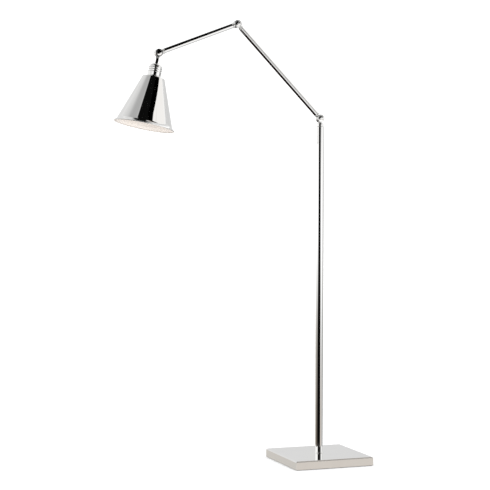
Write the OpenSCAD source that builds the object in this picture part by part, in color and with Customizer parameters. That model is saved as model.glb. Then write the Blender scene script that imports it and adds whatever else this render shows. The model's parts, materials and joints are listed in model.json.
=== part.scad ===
// Adjustable arm floor lamp: a weighted square base, a straight pole with a swivel at its top, two
// tubular arms joined by half-lap friction knuckles, and a conical shade that tilts on a third knuckle.
// Millimetres, +Z up. The origin is on the floor, on the pole's axis. The arms reach out along -X,
// and every knuckle pivots about an axis parallel to Y.

/* [Base] */
// Side of the square base plate
base_side = 254; // [230:1:280]
// Height of the base, from the floor to its top face
base_height = 27; // [22:0.5:30]
// Width of the bevel around the base's top edge
base_bevel = 3; // [1:0.5:4]
// Thickness of the felt pad under the base
pad_t = 1.5; // [1:0.1:3]

/* [Pole] */
// Outer diameter of the pole
pole_d = 24; // [23:0.5:28]
// Wall thickness of the pole
pole_wall = 1.5; // [1:0.1:1.8]
// Height of the lower knuckle's pivot above the floor
knuckle_height = 1061; // [950:1:1250]

/* [Arms] */
// Outer diameter of both arm tubes
arm_d = 15; // [14.5:0.5:18]
// Wall thickness of both arm tubes
arm_wall = 1.2; // [0.8:0.1:1.2]
// Length of the lower arm, pivot to pivot
lower_arm_length = 388; // [330:1:420]
// Angle of the lower arm above the horizontal
lower_arm_rise = 45.5; // [35:0.5:70]
// Length of the upper arm, pivot to pivot
upper_arm_length = 265; // [240:1:300]
// Angle of the upper arm below the horizontal
upper_arm_drop = 21.5; // [0:0.5:35]

/* [Knuckles] */
// Diameter of the knuckle discs
knuckle_d = 24; // [23:0.5:26]
// Thickness of a whole knuckle along its pivot, without its caps
knuckle_w = 18; // [15:0.5:18]
// Diameter of the turned bead at each end of an arm
bead_d = 16.5; // [16:0.5:19]

/* [Head] */
// Tilt of the shade's axis away from the vertical
head_tilt = 11.6; // [0:0.1:25]
// Distance from the head pivot down to the shade's top
stem_drop = 74; // [70:0.5:76]
// Diameter of the socket cup between its ribs
cup_d = 39; // [39:0.5:42]

/* [Shade] */
// Diameter of the shade's flat top
shade_top_d = 67; // [62:1:80]
// Diameter of the shade's rim
shade_rim_d = 182; // [170:1:200]
// Height of the shade
shade_height = 148; // [145:1:165]
// How far the flared lip stands out from the cone
lip_out = 9; // [4:0.5:12]
// Height of the flared lip
lip_height = 12; // [8:0.5:16]
// Wall thickness of the shade
shade_wall = 0.9; // [0.7:0.1:1.5]

/* [Hidden] */
$fn = 96;
slip = 0.05;      // gap left in a running fit, and between stacked pieces of two bodies
seat = 0.05;      // radial gap of a piece seated in another piece of the same body
eps = 0.01;       // how far a cutting shape runs past the face that it cuts

// Base
corner_r = 2;
cover_wall = 1.5;
weight_gap = 0.5;
cover_bottom = pad_t;
weight_top = base_height - cover_wall;
weight_side = base_side - 2 * cover_wall - 2 * weight_gap;
pad_inset = 4;
nipple_d = 10;
nipple_bore = 6.5;
nut_well_d = 34;
nut_well_depth = 10;
washer_t = 2;
lock_nut_t = 5;
lock_nut_d = 19;
channel_w = 11;
channel_h = 11;
grommet_z = pad_t + 5.5;
grommet_d = 9;
grommet_flange_d = 13;
grommet_bore = 5.4;

// Pole
pole_bore = pole_d - 2 * pole_wall;
pole_bottom = base_height;
collar_top = -13.2;       // below the lower knuckle's pivot
collar_h = 12;
collar_d = pole_d - 2.5;
thrust_t = 0.5;
pole_top = knuckle_height + collar_top - collar_h - thrust_t - slip;
plug_h = 26;
bush_h = 24;
post_d = 11;
post_bore = 5.2;
post_tail = 6;
stop_pin_d = 2.4;
stop_pin_r = 8;
stop_pin_h = 2.4;
stop_span = 340;          // arc of the stop groove, for 160 degrees of turn each way
foot_ring_d = pole_d + 2.4;
foot_ring_h = 3;

// Arms and knuckles, each measured outwards from its pivot
arm_bore = arm_d - 2 * arm_wall;
friction_t = 0.8;         // gap between the two discs, filled by the friction washer
neck_d = 11;
neck_full = knuckle_d / 2 + 0.8;
bead_start = knuckle_d / 2 + 1.5;
bead_h = 4.6;
tube_start = bead_start + bead_h;
spigot_d = arm_bore - 2 * seat;
spigot_end = tube_start + 22;
lead_bore = 5.2;
wire_d = 2.2;
wire_pitch = 2.3;
screw_d = 5;
screw_head_d = 8.6;
screw_head_h = 3;
head_recess_d = 9.4;
head_recess_depth = 4.2;
nut_recess_d = 10.6;
nut_recess_depth = 5;
nut_h = 3;
nut_d = 9.2;
spring_t = 0.8;
spring_d = 9.4;
cap_d = 17;
cap_edge = 0.4;
cap_rise = 1.4;
cap_spigot = 0.9;

// Head, as depths below the head pivot along the stem
stem_d = 9;
stem_shoulder_d = 13;
stem_shoulder_top = 30.5;
socket_cap_top = 32.5;
socket_cap_bottom = 43;
socket_cap_d = 37;
stem_thread_end = 50;
stem_nut_h = 3;
stem_nut_d = 13.8;
cup_top = socket_cap_bottom;
cup_bottom = 68.5;
cup_wall = 1;
rib_out = 0.9;
rib_h = 2.4;
rib_depths = [45.4, 51.6, 58];
ring_bead_d = 38;
holder_d = 36.4;
holder_top = 46;
holder_bottom = stem_drop + 12;
holder_floor = 56;
holder_bore = 30;
holder_thread_d = 10.2;
screw_shell_r = 14.2;
screw_shell_t = 0.4;
contact_depth = 58.4;
clamp_ring_d = 50;
clamp_ring_h = 7;

// Bulb, as depths below the head pivot along the stem
bulb_contact_top = 59;
bulb_cap_top = 61.5;
bulb_cap_bottom = 88;
bulb_cap_r = 13.2;
bulb_ball_r = 30;
bulb_ball_depth = 138;
bulb_neck_r = 12.6;
bulb_wall = 0.8;

// Places of the three pivots
knuckle_at = [0, 0, knuckle_height];
elbow_at = knuckle_at + lower_arm_length * [-cos(lower_arm_rise), 0, sin(lower_arm_rise)];
head_at = elbow_at + upper_arm_length * [-cos(upper_arm_drop), 0, -sin(upper_arm_drop)];

// ---- Frames ----

// Lower arm's frame: its own +Z runs from the lower knuckle to the elbow
module on_lower_arm() translate(knuckle_at) rotate([0, lower_arm_rise - 90, 0]) children();

// Upper arm's frame: its own +Z runs from the elbow to the head knuckle
module on_upper_arm() translate(elbow_at) rotate([0, -upper_arm_drop - 90, 0]) children();

// Head's frame: its own +Z runs up along the stem, from the shade to the head pivot
module on_head() translate(head_at) rotate([0, head_tilt, 0]) children();

// Turns a shape made along +Z so that it lies along +Y
module along_y() rotate([-90, 0, 0]) children();

// Puts a shape on the rear (+1) or front (-1) side of a knuckle
module on_side(side) mirror([0, side > 0 ? 0 : 1, 0]) children();

// ---- Shared shapes ----

module ring(outer_d, inner_d, h) {
    difference() {
        cylinder(h = h, d = outer_d);
        translate([0, 0, -eps]) cylinder(h = h + 2 * eps, d = inner_d);
    }
}

module hex_nut(across, bore, h) {
    difference() {
        cylinder(h = h, d = across, $fn = 6);
        translate([0, 0, -eps]) cylinder(h = h + 2 * eps, d = bore);
    }
}

// A turned bead: a ring whose outside is rounded, between two narrow fillets
module bead(outer_d, inner_d, h) {
    fillet_h = h * 0.16;
    round_h = h - 2 * fillet_h;
    steps = 10;
    mid_r = outer_d / 2 - round_h / 2;
    rotate_extrude()
        polygon(concat(
            [[inner_d / 2, 0], [mid_r, 0], [mid_r, fillet_h]],
            [for (i = [1:steps - 1])
                let (a = -90 + 180 * i / steps)
                [mid_r + round_h / 2 * cos(a), h / 2 + round_h / 2 * sin(a)]],
            [[mid_r, h - fillet_h], [mid_r, h], [inner_d / 2, h]]));
}

module rounded_plate(side, h, r) {
    linear_extrude(height = h) {
        square([side, side - 2 * r], center = true);
        square([side - 2 * r, side], center = true);
        for (x = [-1, 1], y = [-1, 1])
            translate([x * (side / 2 - r), y * (side / 2 - r)]) circle(r = r, $fn = 32);
    }
}

// A square plate from z = low to z = high, its top edge bevelled at 45 degrees
module bevelled_plate(side, low, high, bevel, r) {
    half = side / 2;
    outline = [[-half, low], [half, low], [half, high - bevel], [half - bevel, high],
               [bevel - half, high], [-half, high - bevel]];
    intersection() {
        translate([0, 0, low]) rounded_plate(side, high - low, r);
        rotate([90, 0, 0]) linear_extrude(height = side + 2, center = true) polygon(outline);
        rotate([90, 0, 90]) linear_extrude(height = side + 2, center = true) polygon(outline);
    }
}

// The two insulated wires of the inner lead, from z = low to z = high
module twin_lead(low, high) {
    for (side = [-1, 1])
        translate([0, side * wire_pitch / 2, low]) cylinder(h = high - low, d = wire_d, $fn = 24);
}

// ---- Knuckle pieces, on a pivot along Y at the origin ----

// Disc of a half-lap knuckle, with a rounded outer edge; it lies along +Y
module lap_disc() {
    edge = 1.6;
    steps = 5;
    inner = friction_t / 2;
    outer = knuckle_w / 2;
    r = knuckle_d / 2;
    along_y() rotate_extrude()
        polygon(concat(
            [[0, inner], [r, inner]],
            [for (i = [0:steps])
                let (a = 90 * i / steps)
                [r - edge + edge * cos(a), outer - edge + edge * sin(a)]],
            [[0, outer]]));
}

// One half of a knuckle: its disc on one side, a half-round lug, and a neck and spigot along +Z
module knuckle_half(side, recess_d, recess_depth, bore_d, end) {
    difference() {
        union() {
            on_side(side) lap_disc();
            on_side(side) intersection() {
                cylinder(h = neck_full + eps, d = neck_d);
                translate([-neck_d, friction_t / 2, 0]) cube([2 * neck_d, neck_d, neck_full + eps]);
            }
            translate([0, 0, neck_full]) cylinder(h = bead_start - neck_full + eps, d = neck_d);
            translate([0, 0, bead_start]) cylinder(h = end - bead_start, d = spigot_d);
        }
        on_side(side) along_y() translate([0, 0, -eps]) cylinder(h = knuckle_w, d = bore_d);
        on_side(side) along_y() translate([0, 0, knuckle_w / 2 - recess_depth])
            cylinder(h = recess_depth + 1, d = recess_d);
        translate([0, 0, neck_full]) cylinder(h = end, d = lead_bore);
    }
}

module fixed_half(side, end) {
    knuckle_half(side, head_recess_d, head_recess_depth, screw_d + 2 * seat, end);
}

module turning_half(side, end) {
    knuckle_half(side, nut_recess_d, nut_recess_depth, screw_d + 2 * slip, end);
}

// The friction washer lies against the fixed half, on the given side
module friction_washer(side) {
    color("dimgray") on_side(side) along_y() translate([0, 0, slip - friction_t / 2])
        ring(knuckle_d - 3, screw_d + 2 * seat, friction_t - slip);
}

// Pivot screw: its head is in the fixed half, on the given side, and its tip is in the other half
module pivot_screw(side) {
    head_at_y = knuckle_w / 2 - head_recess_depth;
    tip = knuckle_w / 2 - nut_recess_depth + slip + spring_t + nut_h + slip;
    color("silver") on_side(side) along_y() difference() {
        union() {
            translate([0, 0, -tip]) cylinder(h = tip + head_at_y + eps, d = screw_d);
            translate([0, 0, head_at_y]) cylinder(h = screw_head_h, d = screw_head_d);
        }
        translate([0, 0, head_at_y + screw_head_h - 1.6]) cylinder(h = 2, d = 3.6, $fn = 6);
    }
}

// Spring washer in the turning half's recess; side is the fixed half's side
module knuckle_spring_washer(side) {
    at = knuckle_w / 2 - nut_recess_depth + slip;
    color("gray") on_side(-side) along_y() translate([0, 0, at])
        ring(spring_d, screw_d + 2 * seat, spring_t);
}

module knuckle_nut(side) {
    at = knuckle_w / 2 - nut_recess_depth + slip + spring_t;
    color("silver") on_side(-side) along_y() translate([0, 0, at])
        hex_nut(nut_d, screw_d + 2 * seat, nut_h);
}

// Low domed cap that closes a half's recess, on its own side
module knuckle_cap(side, recess_d) {
    steps = 8;
    r = cap_d / 2;
    dome_r = (r * r + cap_rise * cap_rise) / (2 * cap_rise);
    half_angle = asin(r / dome_r);
    color("whitesmoke") on_side(side) along_y() translate([0, 0, knuckle_w / 2]) {
        rotate_extrude()
            polygon(concat(
                [[0, 0], [r, 0]],
                [for (i = [0:steps])
                    let (a = half_angle * (1 - i / steps))
                    [dome_r * sin(a), dome_r * cos(a) - dome_r + cap_rise + cap_edge]]));
        translate([0, 0, -cap_spigot]) cylinder(h = cap_spigot + eps, d = recess_d - 2 * seat);
    }
}

// ---- Base ----

module base_cover() {
    color("lightgray") difference() {
        bevelled_plate(base_side, cover_bottom, base_height, base_bevel, corner_r);
        bevelled_plate(base_side - 2 * cover_wall, cover_bottom - 1, base_height - cover_wall,
                       base_bevel, corner_r);
        cylinder(h = base_height + 1, d = nipple_d + 2 * seat);
        translate([0, base_side / 2, grommet_z]) rotate([90, 0, 0])
            cylinder(h = 3 * cover_wall, d = grommet_d, center = true);
    }
}

module base_weight() {
    color("dimgray") difference() {
        bevelled_plate(weight_side, pad_t, weight_top, base_bevel, corner_r);
        cylinder(h = base_height, d = nipple_d + 2 * seat);
        cylinder(h = pad_t + nut_well_depth, d = nut_well_d);
        translate([-channel_w / 2, 0, 0]) cube([channel_w, base_side, pad_t + channel_h]);
    }
}

module base_pad() {
    color("darkslategray") rounded_plate(base_side - 2 * pad_inset, pad_t, corner_r);
}

module cord_grommet() {
    outside = base_side / 2;
    flange_t = 1.5;
    color("black") difference() {
        union() {
            translate([0, outside - cover_wall - flange_t, grommet_z]) along_y()
                cylinder(h = cover_wall + 2 * flange_t, d = grommet_d - 2 * seat);
            translate([0, outside, grommet_z]) along_y() intersection() {
                cylinder(h = flange_t, d = grommet_flange_d);
                translate([-grommet_d, -grommet_d, 0])
                    cube([2 * grommet_d, grommet_z - pad_t + grommet_d, flange_t]);
            }
        }
        translate([0, outside - 10, grommet_z]) along_y() cylinder(h = 20, d = grommet_bore);
    }
}

module foot_ring() {
    color("silver") translate([0, 0, base_height]) bead(foot_ring_d + 1, pole_d + 2 * seat, foot_ring_h);
}

module base_nipple() {
    low = pad_t + nut_well_depth - washer_t - lock_nut_t - 1;
    color("goldenrod") translate([0, 0, low]) ring(nipple_d, nipple_bore, pole_bottom + plug_h - 4 - low);
}

module base_lock_washer() {
    color("gray") translate([0, 0, pad_t + nut_well_depth - washer_t])
        ring(nut_well_d - 6, nipple_d + 2 * seat, washer_t);
}

module base_lock_nut() {
    color("gray") translate([0, 0, pad_t + nut_well_depth - washer_t - lock_nut_t])
        hex_nut(lock_nut_d, nipple_d + 2 * seat, lock_nut_t);
}

// ---- Pole and swivel ----

module pole_tube() {
    color("whitesmoke") translate([0, 0, pole_bottom]) ring(pole_d, pole_bore, pole_top - pole_bottom);
}

module pole_foot_plug() {
    color("goldenrod") translate([0, 0, pole_bottom])
        ring(pole_bore - 2 * seat, nipple_d + 2 * seat, plug_h);
}

// Bush at the pole's top: the post turns in it
module pole_top_bush() {
    color("goldenrod") difference() {
        translate([0, 0, pole_top - bush_h]) cylinder(h = bush_h, d = pole_bore - 2 * seat);
        translate([0, 0, pole_top - bush_h - eps]) cylinder(h = bush_h + 1, d = post_d + 2 * slip);
        translate([stop_pin_r, 0, pole_top - 4]) cylinder(h = 5, d = stop_pin_d + 2 * seat, $fn = 32);
    }
}

// Pin that limits the swivel; it stands up into the groove under the post's collar
module swivel_stop_pin() {
    color("silver") translate([stop_pin_r, 0, pole_top - 4])
        cylinder(h = 4 + thrust_t + slip + stop_pin_h - 0.4, d = stop_pin_d, $fn = 32);
}

module pole_lead() {
    color("black") twin_lead(pad_t + nut_well_depth - 6, knuckle_height - neck_full - 3);
}

// Post that carries the lower knuckle's rear disc: neck, collar, and a shaft down through the bush
module swivel_post() {
    collar_low = collar_top - collar_h;
    shaft_low = collar_low - thrust_t - slip - bush_h - post_tail;
    groove_w = stop_pin_d + 0.8;
    color("silver") translate(knuckle_at) difference() {
        union() {
            on_side(1) lap_disc();
            on_side(1) intersection() {
                translate([0, 0, -neck_full]) cylinder(h = neck_full, d = neck_d);
                translate([-neck_d, friction_t / 2, -neck_full]) cube([2 * neck_d, neck_d, neck_full]);
            }
            translate([0, 0, collar_top]) cylinder(h = -collar_top - neck_full + eps, d = neck_d);
            translate([0, 0, collar_low]) swivel_collar();
            translate([0, 0, shaft_low]) cylinder(h = collar_low - shaft_low + eps, d = post_d);
        }
        on_side(1) along_y() translate([0, 0, -eps]) cylinder(h = knuckle_w, d = screw_d + 2 * seat);
        on_side(1) along_y() translate([0, 0, knuckle_w / 2 - head_recess_depth])
            cylinder(h = head_recess_depth + 1, d = head_recess_d);
        translate([0, 0, shaft_low - eps]) cylinder(h = -shaft_low - neck_full + eps, d = post_bore);
        translate([0, 0, collar_low - eps]) rotate([0, 0, -stop_span / 2])
            rotate_extrude(angle = stop_span)
                translate([stop_pin_r - groove_w / 2, 0]) square([groove_w, stop_pin_h + 0.4]);
    }
}

// Collar of the post: a short drum with a rounded shoulder at its top
module swivel_collar() {
    shoulder = 2.2;
    steps = 5;
    r = collar_d / 2;
    rotate_extrude()
        polygon(concat(
            [[0, 0], [r, 0]],
            [for (i = [0:steps])
                let (a = 90 * i / steps)
                [r - shoulder + shoulder * cos(a), collar_h - shoulder + shoulder * sin(a)]],
            [[0, collar_h]]));
}

// Thrust washer between the collar and the bush, inside the stop pin's circle
module swivel_thrust_washer() {
    at = knuckle_height + collar_top - collar_h - thrust_t;
    color("dimgray") translate([0, 0, at])
        ring(2 * (stop_pin_r - stop_pin_d / 2 - 0.3), post_d + 2 * seat, thrust_t);
}

module swivel_spring_washer() {
    at = pole_top - bush_h - slip - 1;
    color("gray") translate([0, 0, at]) ring(16, post_d + 2 * seat, 1);
}

module swivel_nut() {
    nut_t = 4;
    at = pole_top - bush_h - slip - 1 - nut_t;
    color("gray") translate([0, 0, at]) hex_nut(18, post_d + 2 * seat, nut_t);
}

// ---- Lower knuckle, lower arm and elbow ----

module lower_knuckle_half() {
    color("silver") on_lower_arm() turning_half(-1, spigot_end);
}

module lower_arm_beads() {
    color("silver") on_lower_arm() {
        translate([0, 0, bead_start]) bead(bead_d, arm_bore, bead_h);
        translate([0, 0, lower_arm_length - tube_start]) bead(bead_d, arm_bore, bead_h);
    }
}

module lower_arm_tube() {
    color("whitesmoke") on_lower_arm() translate([0, 0, tube_start])
        ring(arm_d, arm_bore, lower_arm_length - 2 * tube_start);
}

module lower_arm_lead() {
    color("black") on_lower_arm() twin_lead(neck_full + 1, lower_arm_length - neck_full - 1);
}

module elbow_rear_half() {
    color("silver") on_lower_arm() translate([0, 0, lower_arm_length]) rotate([0, 180, 0])
        fixed_half(1, spigot_end);
}

// ---- Elbow and upper arm ----

module elbow_front_half() {
    color("silver") on_upper_arm() turning_half(-1, spigot_end);
}

module upper_arm_beads() {
    color("silver") on_upper_arm() {
        translate([0, 0, bead_start]) bead(bead_d, arm_bore, bead_h);
        translate([0, 0, upper_arm_length - tube_start]) bead(bead_d, arm_bore, bead_h);
    }
}

module upper_arm_tube() {
    color("whitesmoke") on_upper_arm() translate([0, 0, tube_start])
        ring(arm_d, arm_bore, upper_arm_length - 2 * tube_start);
}

module upper_arm_lead() {
    color("black") on_upper_arm() twin_lead(neck_full + 1, upper_arm_length - neck_full - 1);
}

module head_front_half() {
    color("silver") on_upper_arm() translate([0, 0, upper_arm_length]) rotate([0, 180, 0])
        fixed_half(-1, spigot_end);
}

// ---- Head ----

// Rear disc of the head knuckle, with the slender stem that carries the socket
module head_stem() {
    color("silver") on_head() difference() {
        union() {
            on_side(1) lap_disc();
            on_side(1) intersection() {
                translate([0, 0, -neck_full]) cylinder(h = neck_full, d = neck_d);
                translate([-neck_d, friction_t / 2, -neck_full]) cube([2 * neck_d, neck_d, neck_full]);
            }
            translate([0, 0, -neck_full - 2]) cylinder(h = 2 + eps, d = neck_d);
            translate([0, 0, -stem_shoulder_top]) cylinder(h = stem_shoulder_top - neck_full, d = stem_d);
            translate([0, 0, -socket_cap_top]) cylinder(h = socket_cap_top - stem_shoulder_top + eps,
                                                        d = stem_shoulder_d);
            translate([0, 0, -stem_thread_end]) cylinder(h = stem_thread_end - socket_cap_top + eps,
                                                         d = nipple_d);
        }
        on_side(1) along_y() translate([0, 0, -eps]) cylinder(h = knuckle_w, d = screw_d + 2 * slip);
        on_side(1) along_y() translate([0, 0, knuckle_w / 2 - nut_recess_depth])
            cylinder(h = nut_recess_depth + 1, d = nut_recess_d);
        translate([0, 0, -stem_thread_end - eps])
            cylinder(h = stem_thread_end - neck_full, d = lead_bore);
    }
}

// Flared cap over the socket cup: a shallow bell with a thin wall
module socket_cap() {
    steps = 10;
    wall = 1;
    top_r = stem_shoulder_d / 2 + 0.5;
    rim_r = socket_cap_d / 2;
    h = socket_cap_bottom - socket_cap_top;
    outer = [for (i = [0:steps])
        let (t = i / steps)
        [top_r + (rim_r - top_r) * sin(90 * t), h * cos(90 * t) * (1 - 0.16 * sin(180 * t))]];
    inner = [for (i = [0:steps]) outer[steps - i] - [wall * (i == steps ? 0 : 1), wall * (i == 0 ? 0 : 1)]];
    color("silver") on_head() translate([0, 0, -socket_cap_bottom]) rotate_extrude()
        polygon(concat([[nipple_d / 2 + seat, h]], outer, inner, [[nipple_d / 2 + seat, h - wall]]));
}

module stem_lock_nut() {
    color("gray") on_head() translate([0, 0, -socket_cap_top - 1 - stem_nut_h])
        hex_nut(stem_nut_d, nipple_d + 2 * seat, stem_nut_h);
}

// Socket cup: a thin drum with three turned ribs
module socket_cup() {
    steps = 6;
    color("silver") on_head() difference() {
        union() {
            translate([0, 0, -cup_bottom]) cylinder(h = cup_bottom - cup_top, d = cup_d);
            for (depth = rib_depths)
                translate([0, 0, -depth - rib_h / 2]) rotate_extrude()
                    polygon(concat(
                        [[0, 0]],
                        [for (i = [0:steps])
                            let (a = -90 + 180 * i / steps)
                            [cup_d / 2 + rib_out * cos(a), rib_h / 2 + rib_h / 2 * sin(a)]],
                        [[0, rib_h]]));
        }
        translate([0, 0, -cup_bottom - eps]) cylinder(h = cup_bottom - cup_top + 1, d = cup_d - 2 * cup_wall);
    }
}

module socket_bead() {
    color("whitesmoke") on_head() translate([0, 0, -stem_drop])
        bead(ring_bead_d + 3, holder_d + 2 * seat, stem_drop - cup_bottom);
}

// Insulating body of the lampholder, its threaded skirt reaching down through the shade's top
module lampholder_body() {
    color("ivory") on_head() difference() {
        translate([0, 0, -holder_bottom]) cylinder(h = holder_bottom - holder_top, d = holder_d);
        translate([0, 0, -holder_bottom - eps])
            cylinder(h = holder_bottom - holder_floor + eps, d = holder_bore);
        translate([0, 0, -holder_floor - 1]) cylinder(h = holder_floor, d = holder_thread_d);
    }
}

module lampholder_shell() {
    color("goldenrod") on_head() translate([0, 0, -holder_bottom + 3])
        ring(2 * screw_shell_r, 2 * (screw_shell_r - screw_shell_t), holder_bottom - holder_floor - 3);
}

module lampholder_contact() {
    color("goldenrod") on_head() translate([0, 0, -contact_depth]) {
        translate([-11, -2.5, contact_depth - holder_floor - 0.5]) cube([22, 5, 0.5]);
        cylinder(h = contact_depth - holder_floor - 0.5, d = 4);
    }
}

// Lip height and slopes of the shade's outside, measured down from its top
shade_top_r = shade_top_d / 2;
shade_rim_r = shade_rim_d / 2;
lip_depth = shade_height - lip_height;
wall_r = shade_rim_r - lip_out;
corner_steps = 5;
shade_corner = 2.5;
lip_steps = 5;

// Outside of the shade as [radius, depth]: flat top, rounded shoulder, straight cone, flared lip
function shade_outline() = concat(
    [[holder_d / 2 + 0.4, 0]],
    [for (i = [0:corner_steps])
        let (a = 70 * i / corner_steps)
        [shade_top_r - shade_corner * (1 - sin(a)), shade_corner * (1 - cos(a))]],
    [for (i = [0:lip_steps])
        let (t = i / lip_steps)
        [wall_r + lip_out * (0.45 * t + 0.55 * t * t), lip_depth + lip_height * t]]);

function unit(v) = v / norm(v);

// Inward normal at point i of an outline, averaged over its two neighbours
function inward(pts, i) =
    let (a = pts[max(i - 1, 0)], b = pts[min(i + 1, len(pts) - 1)], d = unit(b - a))
    [-d[1], d[0]];

module shade() {
    outer = shade_outline();
    last = len(outer) - 1;
    inner = [for (i = [last:-1:0]) outer[i] + shade_wall * inward(outer, i)];
    color("lightgray") on_head() translate([0, 0, -stem_drop]) rotate_extrude($fn = 128)
        polygon([for (p = concat(outer, inner)) [p[0], -p[1]]]);
}

module shade_clamp_ring() {
    color("ivory") on_head() translate([0, 0, -stem_drop - shade_wall - 0.1 - clamp_ring_h])
        bead(clamp_ring_d, holder_d + 2 * seat, clamp_ring_h);
}

// ---- Bulb ----

// Outside of the bulb's glass as [radius, depth], from its neck to its tip
function bulb_outline(shrink) =
    let (r = bulb_ball_r - shrink, neck = bulb_neck_r - shrink, start = 40, steps = 12)
    concat(
        [[neck, bulb_cap_bottom - 6], [neck, bulb_cap_bottom]],
        [for (i = [1:4])
            let (t = i / 5, s = t * t * (3 - 2 * t))
            [neck + (r * sin(start) - neck) * s,
             bulb_cap_bottom + (bulb_ball_depth - r * cos(start) - bulb_cap_bottom) * t]],
        [for (i = [0:steps])
            let (a = start + (180 - start) * i / steps)
            [r * sin(a), bulb_ball_depth - r * cos(a)]]);

module bulb_glass() {
    outer = bulb_outline(0);
    inner = bulb_outline(bulb_wall);
    last = len(inner) - 1;
    color("white") on_head() rotate_extrude()
        polygon([for (p = concat(outer, [for (i = [last:-1:0]) inner[i]])) [max(p[0], 0), -p[1]]]);
}

module bulb_cap() {
    color("silver") on_head() translate([0, 0, -bulb_cap_bottom])
        difference() {
            cylinder(h = bulb_cap_bottom - bulb_cap_top, r = bulb_cap_r);
            translate([0, 0, -eps]) cylinder(h = 8, r = bulb_neck_r + seat);
        }
}

module bulb_contact() {
    color("goldenrod") on_head() translate([0, 0, -bulb_cap_top])
        cylinder(h = bulb_cap_top - bulb_contact_top, d1 = 16, d2 = 9);
}

// ---- Which node is drawn ----

base_cover();
base_weight();
base_pad();
cord_grommet();
foot_ring();
pole_tube();
pole_foot_plug();
base_nipple();
base_lock_washer();
base_lock_nut();
pole_top_bush();
swivel_stop_pin();
pole_lead();
swivel_post();
swivel_thrust_washer();
swivel_spring_washer();
swivel_nut();
translate(knuckle_at) friction_washer(1);  // lower_knuckle_friction_washer
translate(knuckle_at) pivot_screw(1);  // lower_knuckle_screw
translate(knuckle_at) knuckle_spring_washer(1);  // lower_knuckle_spring_washer
translate(knuckle_at) knuckle_nut(1);  // lower_knuckle_nut
translate(knuckle_at) knuckle_cap(1, head_recess_d);  // lower_knuckle_rear_cap
lower_knuckle_half();
translate(knuckle_at) knuckle_cap(-1, nut_recess_d);  // lower_knuckle_front_cap
lower_arm_beads();
lower_arm_tube();
lower_arm_lead();
elbow_rear_half();
translate(elbow_at) friction_washer(1);  // elbow_friction_washer
translate(elbow_at) pivot_screw(1);  // elbow_screw
translate(elbow_at) knuckle_spring_washer(1);  // elbow_spring_washer
translate(elbow_at) knuckle_nut(1);  // elbow_nut
translate(elbow_at) knuckle_cap(1, head_recess_d);  // elbow_rear_cap
elbow_front_half();
translate(elbow_at) knuckle_cap(-1, nut_recess_d);  // elbow_front_cap
upper_arm_beads();
upper_arm_tube();
upper_arm_lead();
head_front_half();
translate(head_at) friction_washer(-1);  // head_friction_washer
translate(head_at) pivot_screw(-1);  // head_screw
translate(head_at) knuckle_spring_washer(-1);  // head_spring_washer
translate(head_at) knuckle_nut(-1);  // head_nut
translate(head_at) knuckle_cap(-1, head_recess_d);  // head_front_cap
head_stem();
translate(head_at) knuckle_cap(1, nut_recess_d);  // head_rear_cap
socket_cap();
stem_lock_nut();
socket_cup();
socket_bead();
lampholder_body();
lampholder_shell();
lampholder_contact();
shade();
shade_clamp_ring();
bulb_glass();
bulb_cap();
bulb_contact();
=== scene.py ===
"""Visual model of an adjustable arm floor lamp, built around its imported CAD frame.

The lamp is mirror-polished nickel: a weighted square base, a straight pole with a swivel at its top,
two tubular arms on half-lap friction knuckles, and a conical shade with a white enamelled inside.
Everything is in metres, in the frame of the CAD model: +Z up, the pole's axis at the origin, the arms
reaching out along -X. Each sub-assembly is a class that builds its meshes and dresses them.
"""

import json
import logging
import math
from dataclasses import dataclass, field
from enum import Enum

import bmesh
import bpy
from mathutils import Matrix, Vector


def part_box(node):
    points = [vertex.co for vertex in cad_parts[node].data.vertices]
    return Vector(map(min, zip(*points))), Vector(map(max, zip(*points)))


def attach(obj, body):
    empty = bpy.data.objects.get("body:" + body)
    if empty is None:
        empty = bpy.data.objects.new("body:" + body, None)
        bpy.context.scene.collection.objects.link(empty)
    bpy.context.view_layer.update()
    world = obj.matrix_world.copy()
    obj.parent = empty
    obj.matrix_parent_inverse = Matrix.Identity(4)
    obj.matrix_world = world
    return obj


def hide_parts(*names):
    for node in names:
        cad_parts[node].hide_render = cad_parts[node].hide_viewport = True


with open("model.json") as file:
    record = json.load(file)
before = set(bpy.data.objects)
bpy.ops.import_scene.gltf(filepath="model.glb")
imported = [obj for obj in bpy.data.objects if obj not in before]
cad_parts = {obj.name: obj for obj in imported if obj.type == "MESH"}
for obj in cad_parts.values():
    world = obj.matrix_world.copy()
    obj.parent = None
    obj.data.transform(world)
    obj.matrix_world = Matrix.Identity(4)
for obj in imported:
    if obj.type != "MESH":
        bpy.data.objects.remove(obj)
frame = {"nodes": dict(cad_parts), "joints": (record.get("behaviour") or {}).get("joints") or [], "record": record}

LOG = logging.getLogger("floor_lamp")
MM = 0.001

# Points nearer than the first merge; a cut takes points nearer than the second as lying on it
MERGE_DISTANCE = 1e-6
CUT_DISTANCE = 1e-7

# A face looks up when its normal's Z is more than this
FACING = 0.9

# Share of a bead's height that each of its two fillets takes
BEAD_FILLET = 0.16

Triple = tuple[float, float, float]
Colour = Triple
Outline = list[tuple[float, float]]


class Side(Enum):
    """Which face of a knuckle a piece is on, as the sign of its Y."""

    FRONT = -1
    REAR = 1


class Slot(Enum):
    """The record's material slots that the new pieces belong to."""

    NICKEL = "polished_nickel"
    SHADE = "nickel_and_white_enamel"
    FELT = "felt"
    BLACK_PLASTIC = "black_plastic"
    PORCELAIN = "porcelain"
    WHITE_PLASTIC = "white_plastic"
    GLASS = "frosted_glass"
    BULB_CAP = "bulb_cap_metal"


# ---------------------------------------------------------------------------------------------
# Node helpers
# ---------------------------------------------------------------------------------------------


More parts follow.
